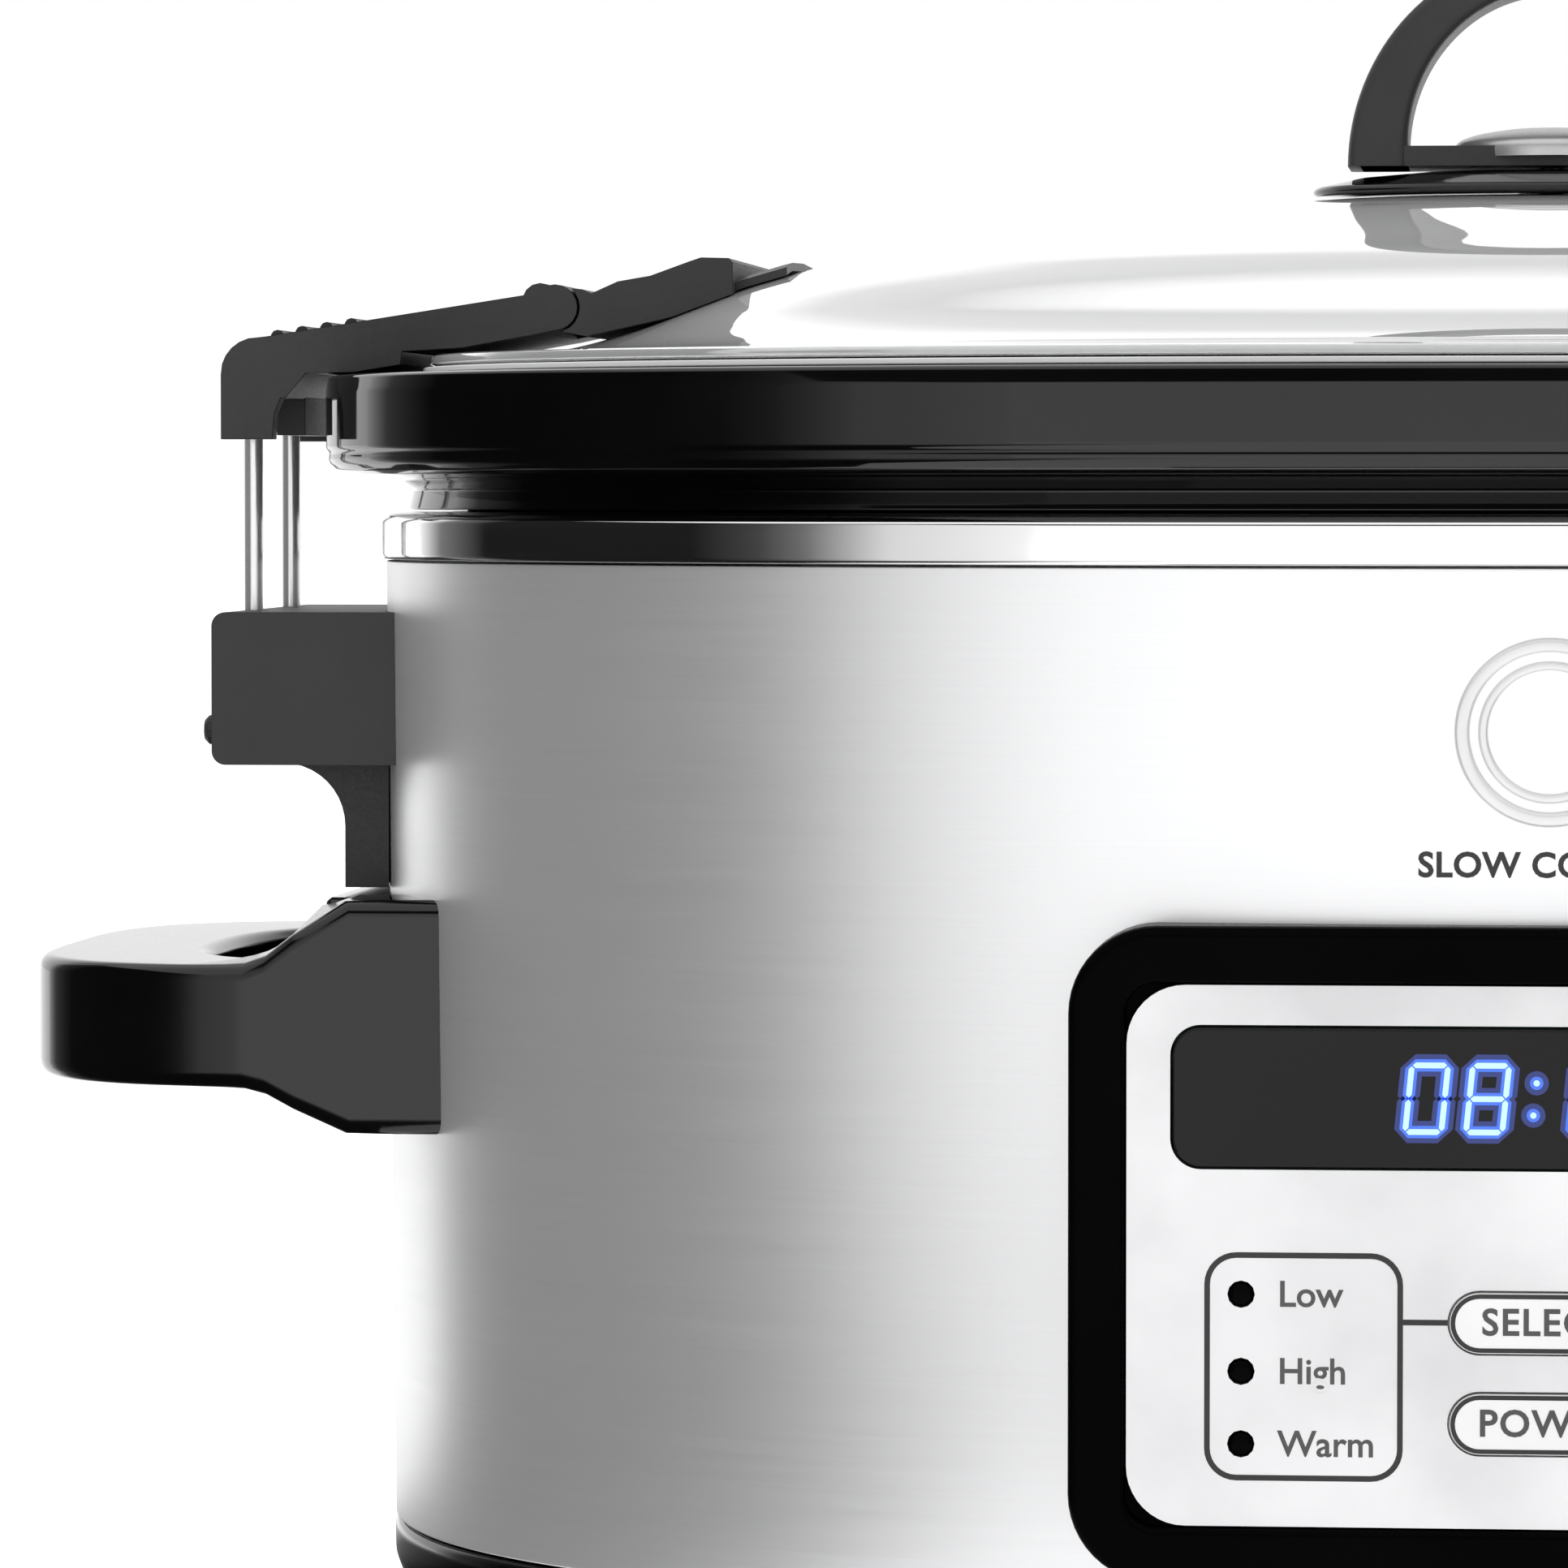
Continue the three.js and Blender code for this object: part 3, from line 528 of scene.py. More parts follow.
# ---------------------------------------------------------------- housing
shell_low, shell_high = (Vector(p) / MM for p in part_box("outer_shell"))
body_r = shell_high.x
foot_r = body_r - 1.2
body_top = shell_high.z
body_foot = shell_low.z
panel_top_r = body_r - 0.5
shoulder_r = body_r - 0.15
shoulder = body_top - 12            # the wall's lean changes here and at PANEL_HIGH


def behind_panel(corners):
    """True for wall faces that the control panel's opening takes away."""
    x = sum(c[0] for c in corners) / len(corners) / MM
    y = sum(c[1] for c in corners) / len(corners) / MM
    z = sum(c[2] for c in corners) / len(corners) / MM
    return y < 0 and abs(x) < PANEL_HALF and PANEL_LOW < z < PANEL_HIGH


def build_housing():
    outline = [
        (foot_r, body_foot), (foot_r + 0.14, PANEL_LOW), (panel_top_r, PANEL_HIGH),
        (shoulder_r, shoulder), (body_r, body_top), (body_r - 1, body_top),
        (body_r - 1.5, PANEL_HIGH), (foot_r - 0.86, PANEL_LOW), (foot_r - 1, body_foot),
    ]
    oval_piece("housing_wall", outline, steel, "outer_shell", radius=0.25, hole=behind_panel)

    low, high = (Vector(p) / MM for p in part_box("top_ring"))
    r = high.x
    oval_piece("bright_ring", [
        (r - 1.3, low.z), (r - 0.3, low.z), (r, low.z + 0.5), (r, high.z - 1.3), (r - 0.6, high.z - 0.4),
        (r - 2, high.z), (r - 10.5, high.z), (r - 10.5, high.z - 1), (r - 2.5, high.z - 1),
        (r - 1.3, high.z - 2.1),
    ], bright_steel, "top_ring", radius=0.45)

    low, high = (Vector(p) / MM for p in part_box("base_pan"))
    r = high.x
    oval_piece("base_moulding", [
        (0, low.z), (70, low.z), (71, low.z + 0.8), (78, low.z + 0.8), (79, low.z), (150, low.z),
        (157.4, low.z + 0.3),
        (r - 5.2, low.z + 1.8), (r - 1.6, low.z + 4.4), (r - 0.2, low.z + 7.8), (r, low.z + 9.4),
        (r, high.z - 0.9), (r - 0.8, high.z), (r - 2.7, high.z), (r - 3.1, 14.5), (163, 11.4), (157, 9.3),
        (0, 9.3),
    ], gloss_black, "base_pan", closed=False, radius=1.2)


def cross_head(radius, height):
    """A domed screw head along +Z with a cross recess, standing on the origin."""
    points = []
    faces = []
    steps = 32
    profile = [(radius, 0), (radius, height * 0.35), (radius * 0.82, height * 0.8), (radius * 0.55, height)]
    for ring_radius, z in profile:
        for i in range(steps):
            angle = 2 * math.pi * i / steps
            points.append((ring_radius * math.cos(angle), ring_radius * math.sin(angle), z))
    for k in range(len(profile) - 1):
        for i in range(steps):
            j = (i + 1) % steps
            faces.append((k * steps + i, k * steps + j, (k + 1) * steps + j, (k + 1) * steps + i))
    faces.append(tuple(reversed(range(steps))))
    # the recess: a plus-shaped rim at the top joined to a smaller plus lower down
    arm, half = radius * 0.5, 0.42
    plus = [(half, arm), (-half, arm), (-half, half), (-arm, half), (-arm, -half), (-half, -half),
            (-half, -arm), (half, -arm), (half, -half), (arm, -half), (arm, half), (half, half)]
    plus = sorted(plus, key=lambda p: math.atan2(p[1], p[0]) % (2 * math.pi))
    top = len(points)
    points += [(x, y, height) for x, y in plus]
    deep = len(points)
    points += [(x * 0.7, y * 0.7, height * 0.25) for x, y in plus]
    count = len(plus)
    for i in range(count):
        j = (i + 1) % count
        faces.append((top + i, top + j, deep + j, deep + i))
    faces.append(tuple(range(deep, deep + count)))
    rim = (len(profile) - 1) * steps
    rim_angles = [2 * math.pi * i / steps for i in range(steps)]
    plus_angles = [math.atan2(p[1], p[0]) % (2 * math.pi) for p in plus]
    i = j = 0
    while i < steps or j < count:
        next_rim = rim_angles[i + 1] if i + 1 < steps else 2 * math.pi
        next_plus = plus_angles[j + 1] if j + 1 < count else 2 * math.pi + plus_angles[0]
        if j >= count or (i < steps and next_rim <= next_plus):
            faces.append((rim + i, rim + (i + 1) % steps, top + j % count))
            i += 1
        else:
            faces.append((rim + i % steps, top + (j + 1) % count, top + j % count))
            j += 1
    return points, faces


def screw(node, head_radius, head_height, shank_radius, shank, place, turn, finish=wire_steel):
    """A cross-head screw: shank below the origin, head above, turned and put in place (mm)."""
    head_points, head_faces = cross_head(head_radius, head_height)
    thread = [(0, -shank), (shank_radius * 0.5, -shank)]
    pitch = 1.0
    z = -shank + shank_radius
    while z < -0.5:
        thread += [(shank_radius * 0.82, z), (shank_radius, z + pitch / 2)]
        z += pitch
    thread += [(shank_radius, -0.2), (shank_radius, 0.05), (0, 0.05)]
    points, faces = turned([(r, h) for r, h in thread], False, round_point, 16)
    shift = len(points)
    points = list(points) + [tuple(c * MM for c in p) for p in head_points]
    faces = faces + [tuple(c + shift for c in f) for f in head_faces]
    points = moved(points, turn, tuple(c * MM for c in place))
    piece = add_piece(f"{node}_cross", points, faces, finish, NODE_BODY[node], NODE_SLOT[node], 30)
    return stand_for(piece, node)


def downward(p):
    return Vector((p.x, -p.y, -p.z))


def rightward(p):
    return Vector((p.z, p.y, -p.x))


def leftward(p):
    return Vector((-p.z, p.y, p.x))


def build_feet():
    for i in range(1, 5):
        low, high = (Vector(p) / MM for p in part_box(f"foot_{i}"))
        centre = ((low.x + high.x) / 2, (low.y + high.y) / 2)
        outline = [(4.3, 0.25), (5.2, 0), (9.6, 0), (10.7, 0.5), (11.5, 1.6)]
        outline += [(11.3, 2.1), (11.7, 2.6), (11.5, 3.1), (11.9, 3.6), (12.2, 6)]
        outline += [(1.8, 6), (1.8, 3.2), (4.3, 3.2)]
        points, faces = turned(soften(outline, 0.3, 3), True, round_point, 64)
        points = [(x + centre[0] * MM, y + centre[1] * MM, z) for x, y, z in points]
        piece = add_piece(f"rubber_foot_{i}", points, faces, rubber_black, "housing", "rubber_black")
        stand_for(piece, f"foot_{i}")
        screw(f"foot_screw_{i}", 3.8, 1.5, 1.5, 13, (*centre, 2.9), downward)


def build_gland():
    low, high = (Vector(p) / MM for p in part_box("cord_gland"))
    centre_z = (low.z + high.z) / 2
    groove, flange = low.y + 4.4, low.y + 6.4
    outline = [(3.6, low.y), (7.3, low.y), (7.3, groove), (6.2, groove), (6.2, flange), (9, flange),
               (9, flange + 1.3), (7.6, flange + 2), (7.2, flange + 2.7), (7.2, flange + 3.3),
               (6.6, flange + 3.7), (6.4, high.y), (3.6, high.y)]
    points, faces = turned(soften(outline, 0.35, 3), True, round_point, 48)
    points = [(x, z, -y + centre_z * MM) for x, y, z in points]
    stand_for(add_piece("gland_bush", points, faces, rubber_black, "housing", "rubber_black"), "cord_gland")


build_housing()
build_feet()
build_gland()


# ---------------------------------------------------------------- crock and lid
def build_crock():
    low, high = (Vector(p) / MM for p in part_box("crock"))
    r = high.x
    top = high.z
    outline = [
        (0, low.z), (128, low.z), (130, low.z + 1.2), (138, low.z + 1.2), (140, low.z), (147, 37),
        (149.6, 43),
        (157, 150), (157.6, 165.6), (166, 165.6), (165.4, 168.4), (168.6, 169.8), (r - 3, 170.6),
        (r - 1.3, 171.2), (r - 0.5, 172.2), (r - 0.35, 172.9), (r - 0.5, 173.6), (r, 174.3), (r, 182.4),
        (r - 0.37, 184.5), (r - 1.2, top), (153, top), (150.6, 183.4), (150, 180), (143, 52), (139, 43.4),
        (132, 41.3), (0, 41.3),
    ]
    oval_piece("crock_glazed", outline, glaze, "crock", closed=False, radius=0.35)


def smooth_curve(points, steps=5):
    """A Catmull-Rom curve through 2-D points."""
    out = []
    count = len(points)
    for i in range(count - 1):
        p0 = points[max(i - 1, 0)]
        p1, p2 = points[i], points[i + 1]
        p3 = points[min(i + 2, count - 1)]
        for k in range(steps):
            t = k / steps
            out.append(tuple(
                0.5 * (2 * b + (c - a) * t + (2 * a - 5 * b + 4 * c - d) * t * t
                       + (3 * b - a - 3 * c + d) * t ** 3)
                for a, b, c, d in zip(p0, p1, p2, p3)
            ))
    out.append(points[-1])
    return out


def build_lid():
    r = (Vector(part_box("lid_glass")[1]) / MM).x
    dome = [(4.5, 211.2), (20, 211.0), (36, 210.3), (54, 208.8), (73, 206.2), (91, 203.3), (104, 201.2),
            (112, 199.3), (120, 196.9), (128, 193.8), (134, 191.4), (140, 189.5), (146, 188.3), (152, 187.9),
            (157, 187.8)]
    thickness = 3.4
    upper = smooth_curve(dome)
    under = [(max(4.5, x - 1), z - thickness) for x, z in dome[:11]]
    under += [(139.5, 186.4), (146, 186.3), (152, 186.3)]
    lower = list(reversed(smooth_curve(under)))
    edge = [(r - 0.9, 187.8), (r - 0.2, 187.6), (r, 187), (r - 0.2, 186.5), (r - 0.9, 186.3)]
    outline = upper + edge + lower
    points, faces = turned(outline, True)
    piece = add_piece("lid_dome", points, faces, lid_clear, "lid", "clear_glass", 50)
    stand_for(piece, "lid_glass")

    low, high = (Vector(p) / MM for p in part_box("lid_gasket"))
    # The seal's near-white finish is a painted highlight: it draws the bright line between the glass lid and
    # the crock's rim.
    oval_piece("lid_seal", [
        (151.5, low.z), (162.4, low.z), (high.x, low.z + 0.3), (high.x, high.z), (156, high.z),
        (155, high.z - 0.4), (154, high.z), (151.5, high.z),
    ], pale_silicone, "lid_gasket", radius=0.2)

    oval_piece("handle_rose", [
        (4.5, 211.5), (29, 210.9), (34.2, 211), (34.8, 211.6), (34.2, 212.3), (28, 213.7), (18, 214.6),
        (4.5, 214.9),
    ], gloss_black, "lid_handle_disc", radius=0.5)

    washer = soften([(2.2, 205.9), (9, 205.9), (9, 206.7), (2.2, 206.7)], 0.25, 3)
    points, faces = turned(washer, True, round_point, 48)
    piece = add_piece("rubber_washer", points, faces, rubber_black, "lid", "rubber_black")
    stand_for(piece, "lid_handle_washer")
    screw("lid_handle_screw", 5, 2, 1.8, 12.8, (0, 0, 205.6), downward)


def strip_round(stations, axes, corner, steps):
    """A bar whose section is a rounded quadrilateral.

    Each station is (outer, inner, outer_low, outer_high, inner_low, inner_high): two points of the
    plan and the heights at each. axes turns (u, v, height) into (x, y, z). All in mm.
    """
    points = []
    count = 0
    for outer, inner, outer_low, outer_high, inner_low, inner_high in stations:
        length = math.hypot(inner[0] - outer[0], inner[1] - outer[1])
        section = [(0, outer_low), (0, outer_high), (length, inner_high), (length, inner_low)]
        section = soften(section, corner, steps)
        count = len(section)
        for s, t in section:
            f = s / length
            u = outer[0] + (inner[0] - outer[0]) * f
            v = outer[1] + (inner[1] - outer[1]) * f
            points.append(tuple(c * MM for c in axes(u, v, t)))
    faces = []
    for k in range(len(stations) - 1):
        for i in range(count):
            j = (i + 1) % count
            faces.append((k * count + i, k * count + j, (k + 1) * count + j, (k + 1) * count + i))
    faces.append(tuple(reversed(range(count))))
    last = (len(stations) - 1) * count
    faces.append(tuple(range(last, last + count)))
    return points, faces


def merged(*parts):
    points = []
    faces = []
    for part_points, part_faces in parts:
        shift = len(points)
        points += list(part_points)
        faces += [tuple(c + shift for c in f) for f in part_faces]
    return points, faces


def build_lid_handle():
    low, high = (Vector(p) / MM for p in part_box("lid_handle"))
    base, top = low.z, high.z
    half = high.x
    inner_half, inner_base, inner_top = 20.7, 218.1, 240.7
    depth = high.y
    stations = []
    steps = 64
    for i in range(steps + 1):
        angle = math.pi * i / steps
        outer = (half * math.cos(angle), base + (top - base) * math.sin(angle))
        inner = (inner_half * math.cos(angle), inner_base + (inner_top - inner_base) * math.sin(angle))
        if i in (0, steps):
            inner = (inner[0], base)
        waist = depth - 1.6 * math.sin(angle)
        stations.append((outer, inner, -waist, waist, -waist + 0.2, waist - 0.2))
    arch = strip_round(stations, lambda u, v, t: (u, t, v), 1.8, 4)
    bar_section = soften([
        (-half + 1.2, base), (half - 1.2, base), (half - 1.4, inner_base), (-half + 1.4, inner_base),
    ], 0.6, 3)
    bar = ring_stack([bar_section] * 2, [-depth + 0.6, depth - 0.6], False)
    points, faces = merged(arch, bar)
    piece = add_piece("lid_grip", points, faces, satin_black, "lid", "satin_black", 40)
    stand_for(piece, "lid_handle")
    cap = smooth_curve([(14, 216.6), (14, 218.3), (13, 219.3), (10, 220.2), (5, 220.9), (0, 221)], 4)
    add_piece("lid_handle_cap", *turned(cap, False, round_point, 64), cap_metal, "lid", "polished_steel", 40)


build_crock()
build_lid()
build_lid_handle()


# ---------------------------------------------------------------- carrying handles and latches
def side_turn(way, points):
    """The side pieces are drawn for +X; the left ones are turned half round."""
    return [(way * x, way * y, z) for x, y, z in points]


def height_at(x, near, far, root, loop):
    """The handle's edge height: full at the root, easing to the loop's height further out."""
    if x <= near:
        return root
    if x >= far:
        return loop
    t = (x - near) / (far - near)
    return loop + (root - loop) * (1 - t) ** 2


def build_handle(name, way):
    low, high = (Vector(p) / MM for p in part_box("right_handle"))
    reach, half = high.x, high.y
    root_low, root_high = low.z, high.z
    loop_low, loop_high = root_low + 6.5, root_high - 9.3
    outer_power, inner_power = 3.4, 2.6
    outer_centre, inner_centre = 168, 175
    outer_back, inner_back = 154, 158           # the loop's ends go into the wall this far
    inner_reach, inner_half = 195.2, 43
    steps = 72
    stations = []
    for i in range(-3, steps + 4):
        angle = -math.pi / 2 + math.pi * min(max(i, 0), steps) / steps
        c, s = max(0, math.cos(angle)), math.sin(angle)
        ox = outer_centre + (reach - outer_centre) * c ** (2 / outer_power)
        oy = math.copysign(half * abs(s) ** (2 / outer_power), s)
        ix = inner_centre + (inner_reach - inner_centre) * c ** (2 / inner_power)
        iy = math.copysign(inner_half * abs(s) ** (2 / inner_power), s)
        if i < 0 or i > steps:
            away = (-i if i < 0 else i - steps) / 3
            ox -= (outer_centre - outer_back) * away
            ix -= (inner_centre - inner_back) * away
        stations.append((
            (ox, oy), (ix, iy),
            height_at(ox, 172, 185, root_low, loop_low), height_at(ox, 172, 185, root_high, loop_high),
            height_at(ix, 174, 184, root_low, loop_low), height_at(ix, 174, 184, root_high, loop_high),
        ))
    loop = strip_round(stations, lambda u, v, t: (u, v, t), 2.4, 5)
    plate_face, plate_middle = 173.5, 94.85
    plate_outline = soften([(-47, root_low + 0.4), (47, root_low + 0.4), (47, root_high - 0.4),
                            (-47, root_high - 0.4)], 1.5, 3)
    plate_edge = [(x * 0.988, z + (plate_middle - z) * 0.03) for x, z in plate_outline]
    plate = ring_stack(
        [plate_outline, plate_outline, plate_edge],
        [161, plate_face - 0.7, plate_face], False)
    plate = ([(y, x, z) for x, y, z in plate[0]], [tuple(reversed(f)) for f in plate[1]])
    points, faces = merged(loop, plate)
    piece = add_piece(f"{name}_carry_handle", side_turn(way, points), faces, gloss_black, "housing",
                      "gloss_black", 40)
    stand_for(piece, f"{name}_handle")
    turn = leftward if way > 0 else rightward
    for i in (1, 2):
        low, high = (Vector(p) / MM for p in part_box(f"{name}_handle_screw_{i}"))
        head_x = way * (min(abs(low.x), abs(high.x)) + 2)
        place = (head_x, (low.y + high.y) / 2, (low.z + high.z) / 2)
        screw(f"{name}_handle_screw_{i}", 3, 1.8, 1.5, 10.2, place, turn)


def wire(name, path, radius, finish, node):
    curve = bpy.data.curves.new(name, "CURVE")
    curve.dimensions = "3D"
    curve.bevel_depth = radius * MM
    curve.bevel_resolution = 5
    curve.use_fill_caps = True
    spline = curve.splines.new("POLY")
    spline.points.add(len(path) - 1)
    for point, place in zip(spline.points, path):
        point.co = (*(c * MM for c in place), 1)
    source = bpy.data.objects.new(name + "_path", curve)
    bpy.context.scene.collection.objects.link(source)
    mesh = bpy.data.meshes.new_from_object(source.evaluated_get(bpy.context.evaluated_depsgraph_get()))
    bpy.data.objects.remove(source)
    piece = bpy.data.objects.new(name, mesh)
    bpy.context.scene.collection.objects.link(piece)
    dress(piece, finish, NODE_BODY[node], 50)
    return stand_for(piece, node)


def build_bail(name, way):
    low, high = (Vector(p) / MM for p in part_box("right_bail"))
    radius = (high.x - low.x) / 2
    x = (low.x + high.x) / 2
    foot_y, leg_y = high.y - radius, 18
    bottom, top = low.z + radius, high.z - radius
    corner = 1.7
    outline = soften([
        (-foot_y, bottom), (-leg_y, bottom), (-leg_y, top), (leg_y, top), (leg_y, bottom), (foot_y, bottom),
    ], corner, 6, closed=False)
    wire(f"{name}_bail_wire", [(way * x, way * y, z) for y, z in outline], radius, wire_steel, f"{name}_bail")


def build_latch(name, way):
    refined(f"{name}_latch_bracket", 0.8, edge_finish=edge_black)
    refined(f"{name}_latch_arm", 0.45, edge_finish=edge_black)
    refined(f"{name}_latch_tip", 0.45, edge_finish=edge_black)
    low, high = (Vector(p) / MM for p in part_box(f"{name}_hinge_pin"))
    x, z = (low.x + high.x) / 2, (low.z + high.z) / 2
    pin = soften([(0, low.y), (1.2, low.y), (1.2, high.y), (0, high.y)], 0.3, 3, closed=False)
    points, faces = turned(pin, False, round_point, 24)
    points = [(px + x * MM, pz, -py + z * MM) for px, py, pz in points]
    piece = add_piece(f"{name}_pin", points, faces, wire_steel, f"{name}_arm", "wire_steel")
    stand_for(piece, f"{name}_hinge_pin")
    low, high = (Vector(p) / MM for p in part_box(f"{name}_bracket_screw"))
    turn = rightward if way > 0 else leftward
    place = (way * 191.3, 0, (low.z + high.z) / 2)
    screw(f"{name}_bracket_screw", 2, 1.3, 1.2, 23.8, place, turn, satin_black)


for side_name, side_way in (("left", -1), ("right", 1)):
    build_handle(side_name, side_way)
    build_bail(side_name, side_way)
    build_latch(side_name, side_way)


# ---------------------------------------------------------------- control panel
bezel_low, bezel_high = (Vector(p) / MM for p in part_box("panel_bezel"))
plate_low = Vector(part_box("panel_plate")[0]) / MM
window_low, window_high = (Vector(p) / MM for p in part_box("display_window"))


def bezel_outline(inset):
    corner = max(11.6 - inset, 0.4)
    return rounded_rect(bezel_high.x - inset, bezel_low.z + inset, bezel_high.z - inset, corner, 12)


def build_bezel():
    """The gloss frame: one section carried round the rounded rectangle."""
    front, rear = bezel_low.y, -123.5
    width = 7.4
    section = [(0, rear), (0, front + 1.4), (0.35, front + 0.45), (1.2, front), (width - 0.8, front),
               (width - 0.1, front + 0.35), (width, front + 1.0), (width, -132.6), (width + 3, -132.4),
               (width + 3, -131.2), (width + 3, rear)]
    section = section[:1] + [p for p in soften(section, 0.4, 2, closed=False)][1:]
    outlines = [bezel_outline(inset) for inset, _ in section]
    points, faces = ring_stack(outlines, [y for _, y in section], True)
    piece = add_piece("panel_frame", points, faces, frame_black, "housing", "gloss_black", 40)
    stand_for(piece, "panel_bezel")


def flat_ring(outer, inner, y, centre):
    """A thin printed line between two equal outlines, standing just in front of y."""
    front = y - PRINT_THICK
    return ring_stack([outer, outer, inner, inner], [y, front, front, y], True, centre)


def label(name, text, size, place, body, finish, align="LEFT", spacing=1.0, weight=0.0):
    curve = bpy.data.curves.new(name, "FONT")
    curve.body = text
    curve.size = size * MM
    curve.align_x = align
    curve.align_y = "CENTER"
    curve.space_character = spacing
    curve.offset = weight * MM
    curve.extrude = PRINT_THICK / 2 * MM
    curve.resolution_u = 4
    source = bpy.data.objects.new(name + "_type", curve)
    bpy.context.scene.collection.objects.link(source)
    mesh = bpy.data.meshes.new_from_object(source.evaluated_get(bpy.context.evaluated_depsgraph_get()))
    bpy.data.objects.remove(source)
    x, y, z = place
    for vertex in mesh.vertices:
        px, pz, py = vertex.co
        vertex.co = (px + x * MM, (y - PRINT_THICK / 2) * MM - py, pz + z * MM)
    piece = bpy.data.objects.new(name, mesh)
    bpy.context.scene.collection.objects.link(piece)
    return dress(piece, finish, body, 30)


def dark_lines(name, parts, body="housing"):
    points, faces = merged(*parts)
    return add_piece(name, points, faces, ink, body, "dark_window")


def panel_prints():
    face = plate_low.y - PRINT_GAP
    line = 0.75
    box_left, box_right, box_low, box_high, corner = -44.7, -18.8, 39.1, 69.0, 4.2
    half = (box_right - box_left) / 2
    centre = ((box_left + box_right) / 2, 0)
    outer = rounded_rect(half, box_low, box_high, corner)
    inner = rounded_rect(half - line, box_low + line, box_high - line, corner - line)
    frame_line = flat_ring(outer, inner, face, centre)
    rule = [(-2.9, -line / 2), (2.9, -line / 2), (2.9, line / 2), (-2.9, line / 2)]
    connector = ring_stack([rule, rule], [face, face - PRINT_THICK], False, (-15.9, 60.0))
    dark_lines("lamp_box_line", [frame_line, connector])
    for text, z in (("Low", 63.4), ("High", 53.3), ("Warm", 43.8)):
        label(f"label_{text.lower()}", text, 4.8, (-35.1, face, z), "housing", grey_ink,
              weight=0.07)
    for direction, (x, z) in {"up": (46.5, 60.0), "down": (46.5, 46.8)}.items():
        way = 1 if direction == "up" else -1
        arrow = soften([(-1.5, -1.1 * way), (1.5, -1.1 * way), (0, 1.4 * way)][::way], 0.2, 2)
        dark_lines(f"arrow_{direction}", [
            ring_stack([arrow, arrow], [face, face - PRINT_THICK], False, (x, z)),
        ])
    label("label_time", "Time", 4.0, (32, face, 69.4), "housing", grey_ink, "CENTER",
          weight=0.05)


def pill_outline(width, height, inset):
    return rounded_rect(width / 2 - inset, -height / 2 + inset, height / 2 - inset, height / 2 - inset - 0.01)


def build_button(node, text):
    low, high = (Vector(p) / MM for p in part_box(node))
    body = NODE_BODY[node]
    centre = ((low.x + high.x) / 2, (low.z + high.z) / 2)
    front, back = low.y, high.y
    width, height = 25.5, 7.9
    rings = [(-1.5, -131.4), (-1.5, PLATE_BACK), (0, PLATE_BACK), (0, front + 0.3), (0.03, front + 0.05),
             (0.1, front)]
    outlines = [pill_outline(width, height, inset) for inset, _ in rings]
    cap = ring_stack(outlines, [y for _, y in rings], False, centre)
    stem = turned([(0, 0), (2, 0), (2, 1.2), (1.6, 1.6), (0, 1.6)], False, round_point, 24)
    stem_points = [(x + centre[0] * MM, z + (back - 1.6) * MM, -y + centre[1] * MM) for x, y, z in stem[0]]
    points, faces = merged(cap, (stem_points, stem[1]))
    stand_for(add_piece(f"{node}_cap", points, faces, key_silver, body, "silver_button"), node)
    line = 0.6
    print_outer = pill_outline(width, height, 0.12)
    print_inner = pill_outline(width, height, 0.12 + line)
    face = front - PRINT_GAP
    ring = flat_ring(print_outer, print_inner, face, centre)
    dark_lines(f"{node}_line", [ring], body)
    label(f"{node}_name", text, 4.9, (centre[0], face, centre[1]), body, grey_ink, "CENTER",
          spacing=1.1, weight=0.1)


SEGMENTS = {  # seven-segment digit: the ends of each bar on a 1 x 2 cell
    "a": ((0, 2), (1, 2)), "b": ((1, 2), (1, 1)), "c": ((1, 1), (1, 0)), "d": ((0, 0), (1, 0)),
    "e": ((0, 0), (0, 1)), "f": ((0, 1), (0, 2)), "g": ((0, 1), (1, 1)),
}
DIGIT_BARS = {"0": "abcdef", "8": "abcdefg"}


def bar_outline(start, end, width, gap):
    (x0, z0), (x1, z1) = start, end
    length = math.hypot(x1 - x0, z1 - z0)
    ux, uz = (x1 - x0) / length, (z1 - z0) / length
    nx, nz = -uz, ux
    half = width / 2
    outline = []
    for along, across in ((gap, 0), (gap + half, -half), (length - gap - half, -half), (length - gap, 0),
                          (length - gap - half, half), (gap + half, half)):
        outline.append((x0 + ux * along + nx * across, z0 + uz * along + nz * across))
    return outline


def build_display():
    front = window_low.y
    refined("display_window", 0.4)
    cell_width, cell_height, slant = 4.7, 8.7, 0.1
    centre_z = (window_low.z + window_high.z) / 2
    base = centre_z - cell_height / 2
    starts = [-18.6, -10.7, 2.9, 10.8]
    # The core is the lit segment; the wider halo and haze layers are painted glow spreading round it on the
    # window.
    layers = ((digit_glow_haze, 2.9, -1.1, 0.01, "digit_glow_haze"), (digit_halo, 1.6, -0.4, 0.03, "digit_halo"),
              (digit_core, 0.75, 0.12, 0.06, "digit_core"))
    for finish, width, gap, depth, name in layers:
        parts = []
        for text, x0 in zip("0800", starts):
            for bar in DIGIT_BARS[text]:
                start, end = ((x * cell_width, z * cell_height / 2) for x, z in SEGMENTS[bar])
                outline = bar_outline(start, end, width, gap)
                outline = [(x0 + x + z * slant, base + z) for x, z in outline]
                lifted = depth + (0.004 if bar in "adg" else 0)
                parts.append(ring_stack([outline, outline], [front, front - lifted], False))
        for z in (centre_z - 2.1, centre_z + 2.1):
            radius = width * 0.55
            dot = [(-2.2 + radius * math.cos(a * math.pi / 8) + (z - base) * slant,
                    z + radius * math.sin(a * math.pi / 8)) for a in range(16)]
            parts.append(ring_stack([dot, dot], [front, front - depth], False))
        points, faces = merged(*parts)
        add_piece(name, points, faces, finish, "housing", "dark_window")


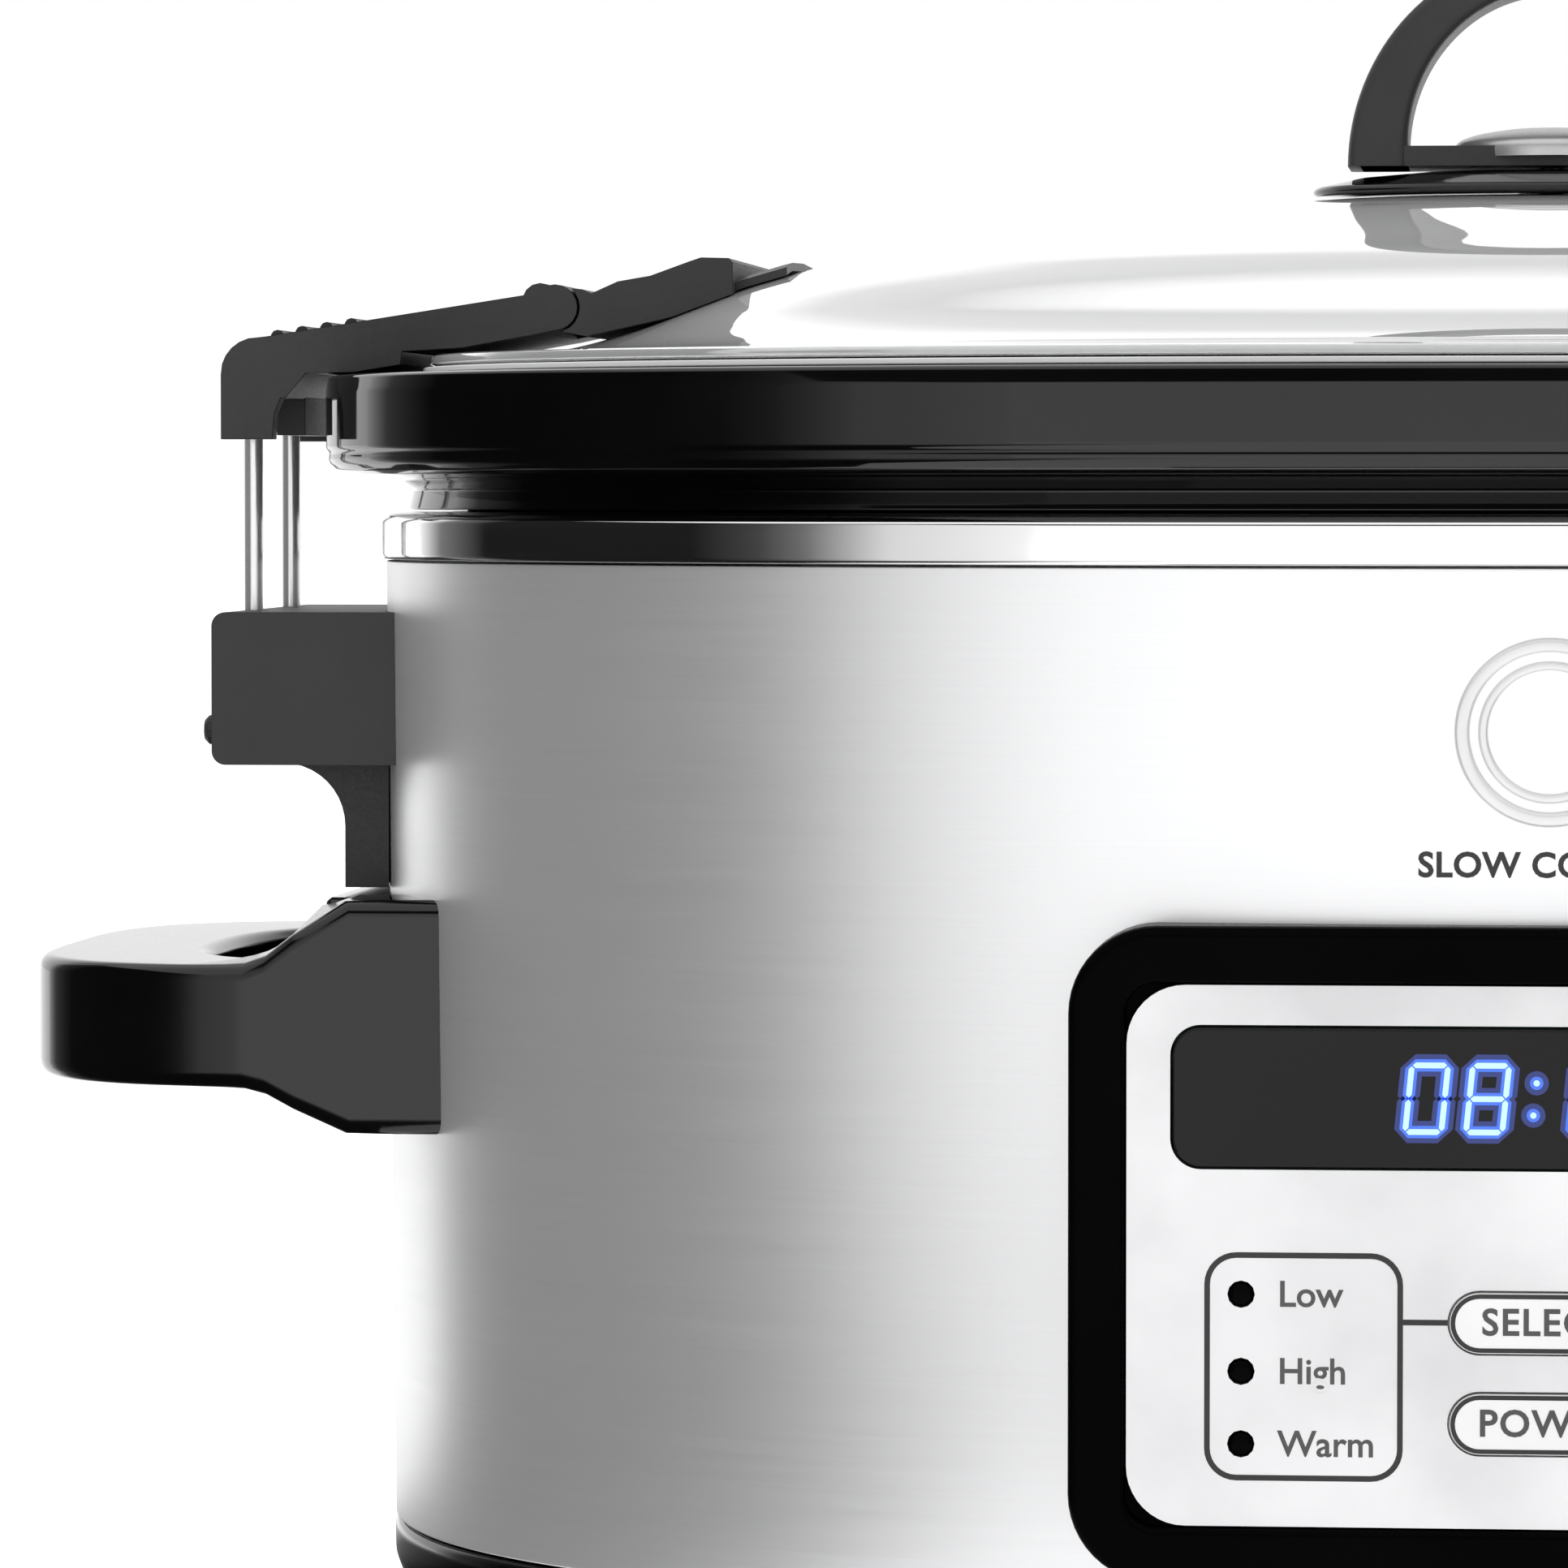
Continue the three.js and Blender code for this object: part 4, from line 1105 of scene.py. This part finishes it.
def build_lamps():
    for name in ("low_led", "high_led", "warm_led"):
        low, high = (Vector(p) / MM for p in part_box(name))
        x, z = (low.x + high.x) / 2, (low.z + high.z) / 2
        outline = [(0, -low.y), (0.9, -low.y - 0.05), (1.35, -low.y - 0.3), (1.5, -low.y - 0.8),
                   (1.5, -PLATE_BACK), (2.6, -PLATE_BACK), (2.6, -high.y), (0, -high.y)]
        points, faces = turned(soften(outline, 0.15, 3, closed=False), False, round_point, 32)
        points = [(px + x * MM, -pz, py + z * MM) for px, py, pz in points]
        piece = add_piece(f"{name}_lens", points, faces, lens_black, "housing", "dark_window")
        stand_for(piece, name)


def wall_front(x, z):
    """The Y of the front wall above the panel, in mm, at a place (x, z) on it."""
    rise = (z - PANEL_HIGH) / (shoulder - PANEL_HIGH)
    radius = panel_top_r + (shoulder_r - panel_top_r) * rise
    short = radius - OVAL_DROP / MM
    return -short * (1 - abs(x / radius) ** OVAL_POWER) ** (1 / OVAL_POWER)


def build_badge():
    """A plain embossed double ring on the wall, and the generic name under it."""
    centre_z = 136.8
    wall = -shell_high.y + 0.35
    for name, outer_r, inner_r, raise_by in (("badge_outer", 12.45, 10.4, 0.4),
                                             ("badge_inner", 9.4, 8.0, 0.3)):
        middle = (outer_r + inner_r) / 2
        section = [(inner_r, 0.4), (inner_r + 0.25, -raise_by * 0.7), (middle, -raise_by),
                   (outer_r - 0.25, -raise_by * 0.7), (outer_r, 0.4)]
        section = smooth_curve(section, 3)
        points = []
        steps = 96
        for radius, depth in section:
            for i in range(steps):
                angle = 2 * math.pi * i / steps
                points.append((radius * math.cos(angle) * MM, (wall - 0.3 + depth) * MM,
                               (centre_z + radius * math.sin(angle)) * MM))
        faces = []
        layers = len(section)
        for k in range(layers):
            a, b = k * steps, (k + 1) % layers * steps
            faces += [(a + i, a + (i + 1) % steps, b + (i + 1) % steps, b + i) for i in range(steps)]
        add_piece(name, points, faces, badge_silver, "housing", "brushed_steel", 60)
    lettering = label("housing_name", "SLOW COOKER", 4.6, (0, 0, 119.3), "housing", ink,
                      "CENTER", spacing=1.05, weight=0.12)
    for vertex in lettering.data.vertices:
        vertex.co.y += wall_front(vertex.co.x / MM, vertex.co.z / MM) * MM


build_bezel()
panel_prints()
for key, text in (("select_button", "SELECT"), ("power_button", "POWER"), ("time_up_button", "HOUR +"),
                  ("time_down_button", "HOUR -")):
    build_button(key, text)
build_display()
build_lamps()
build_badge()
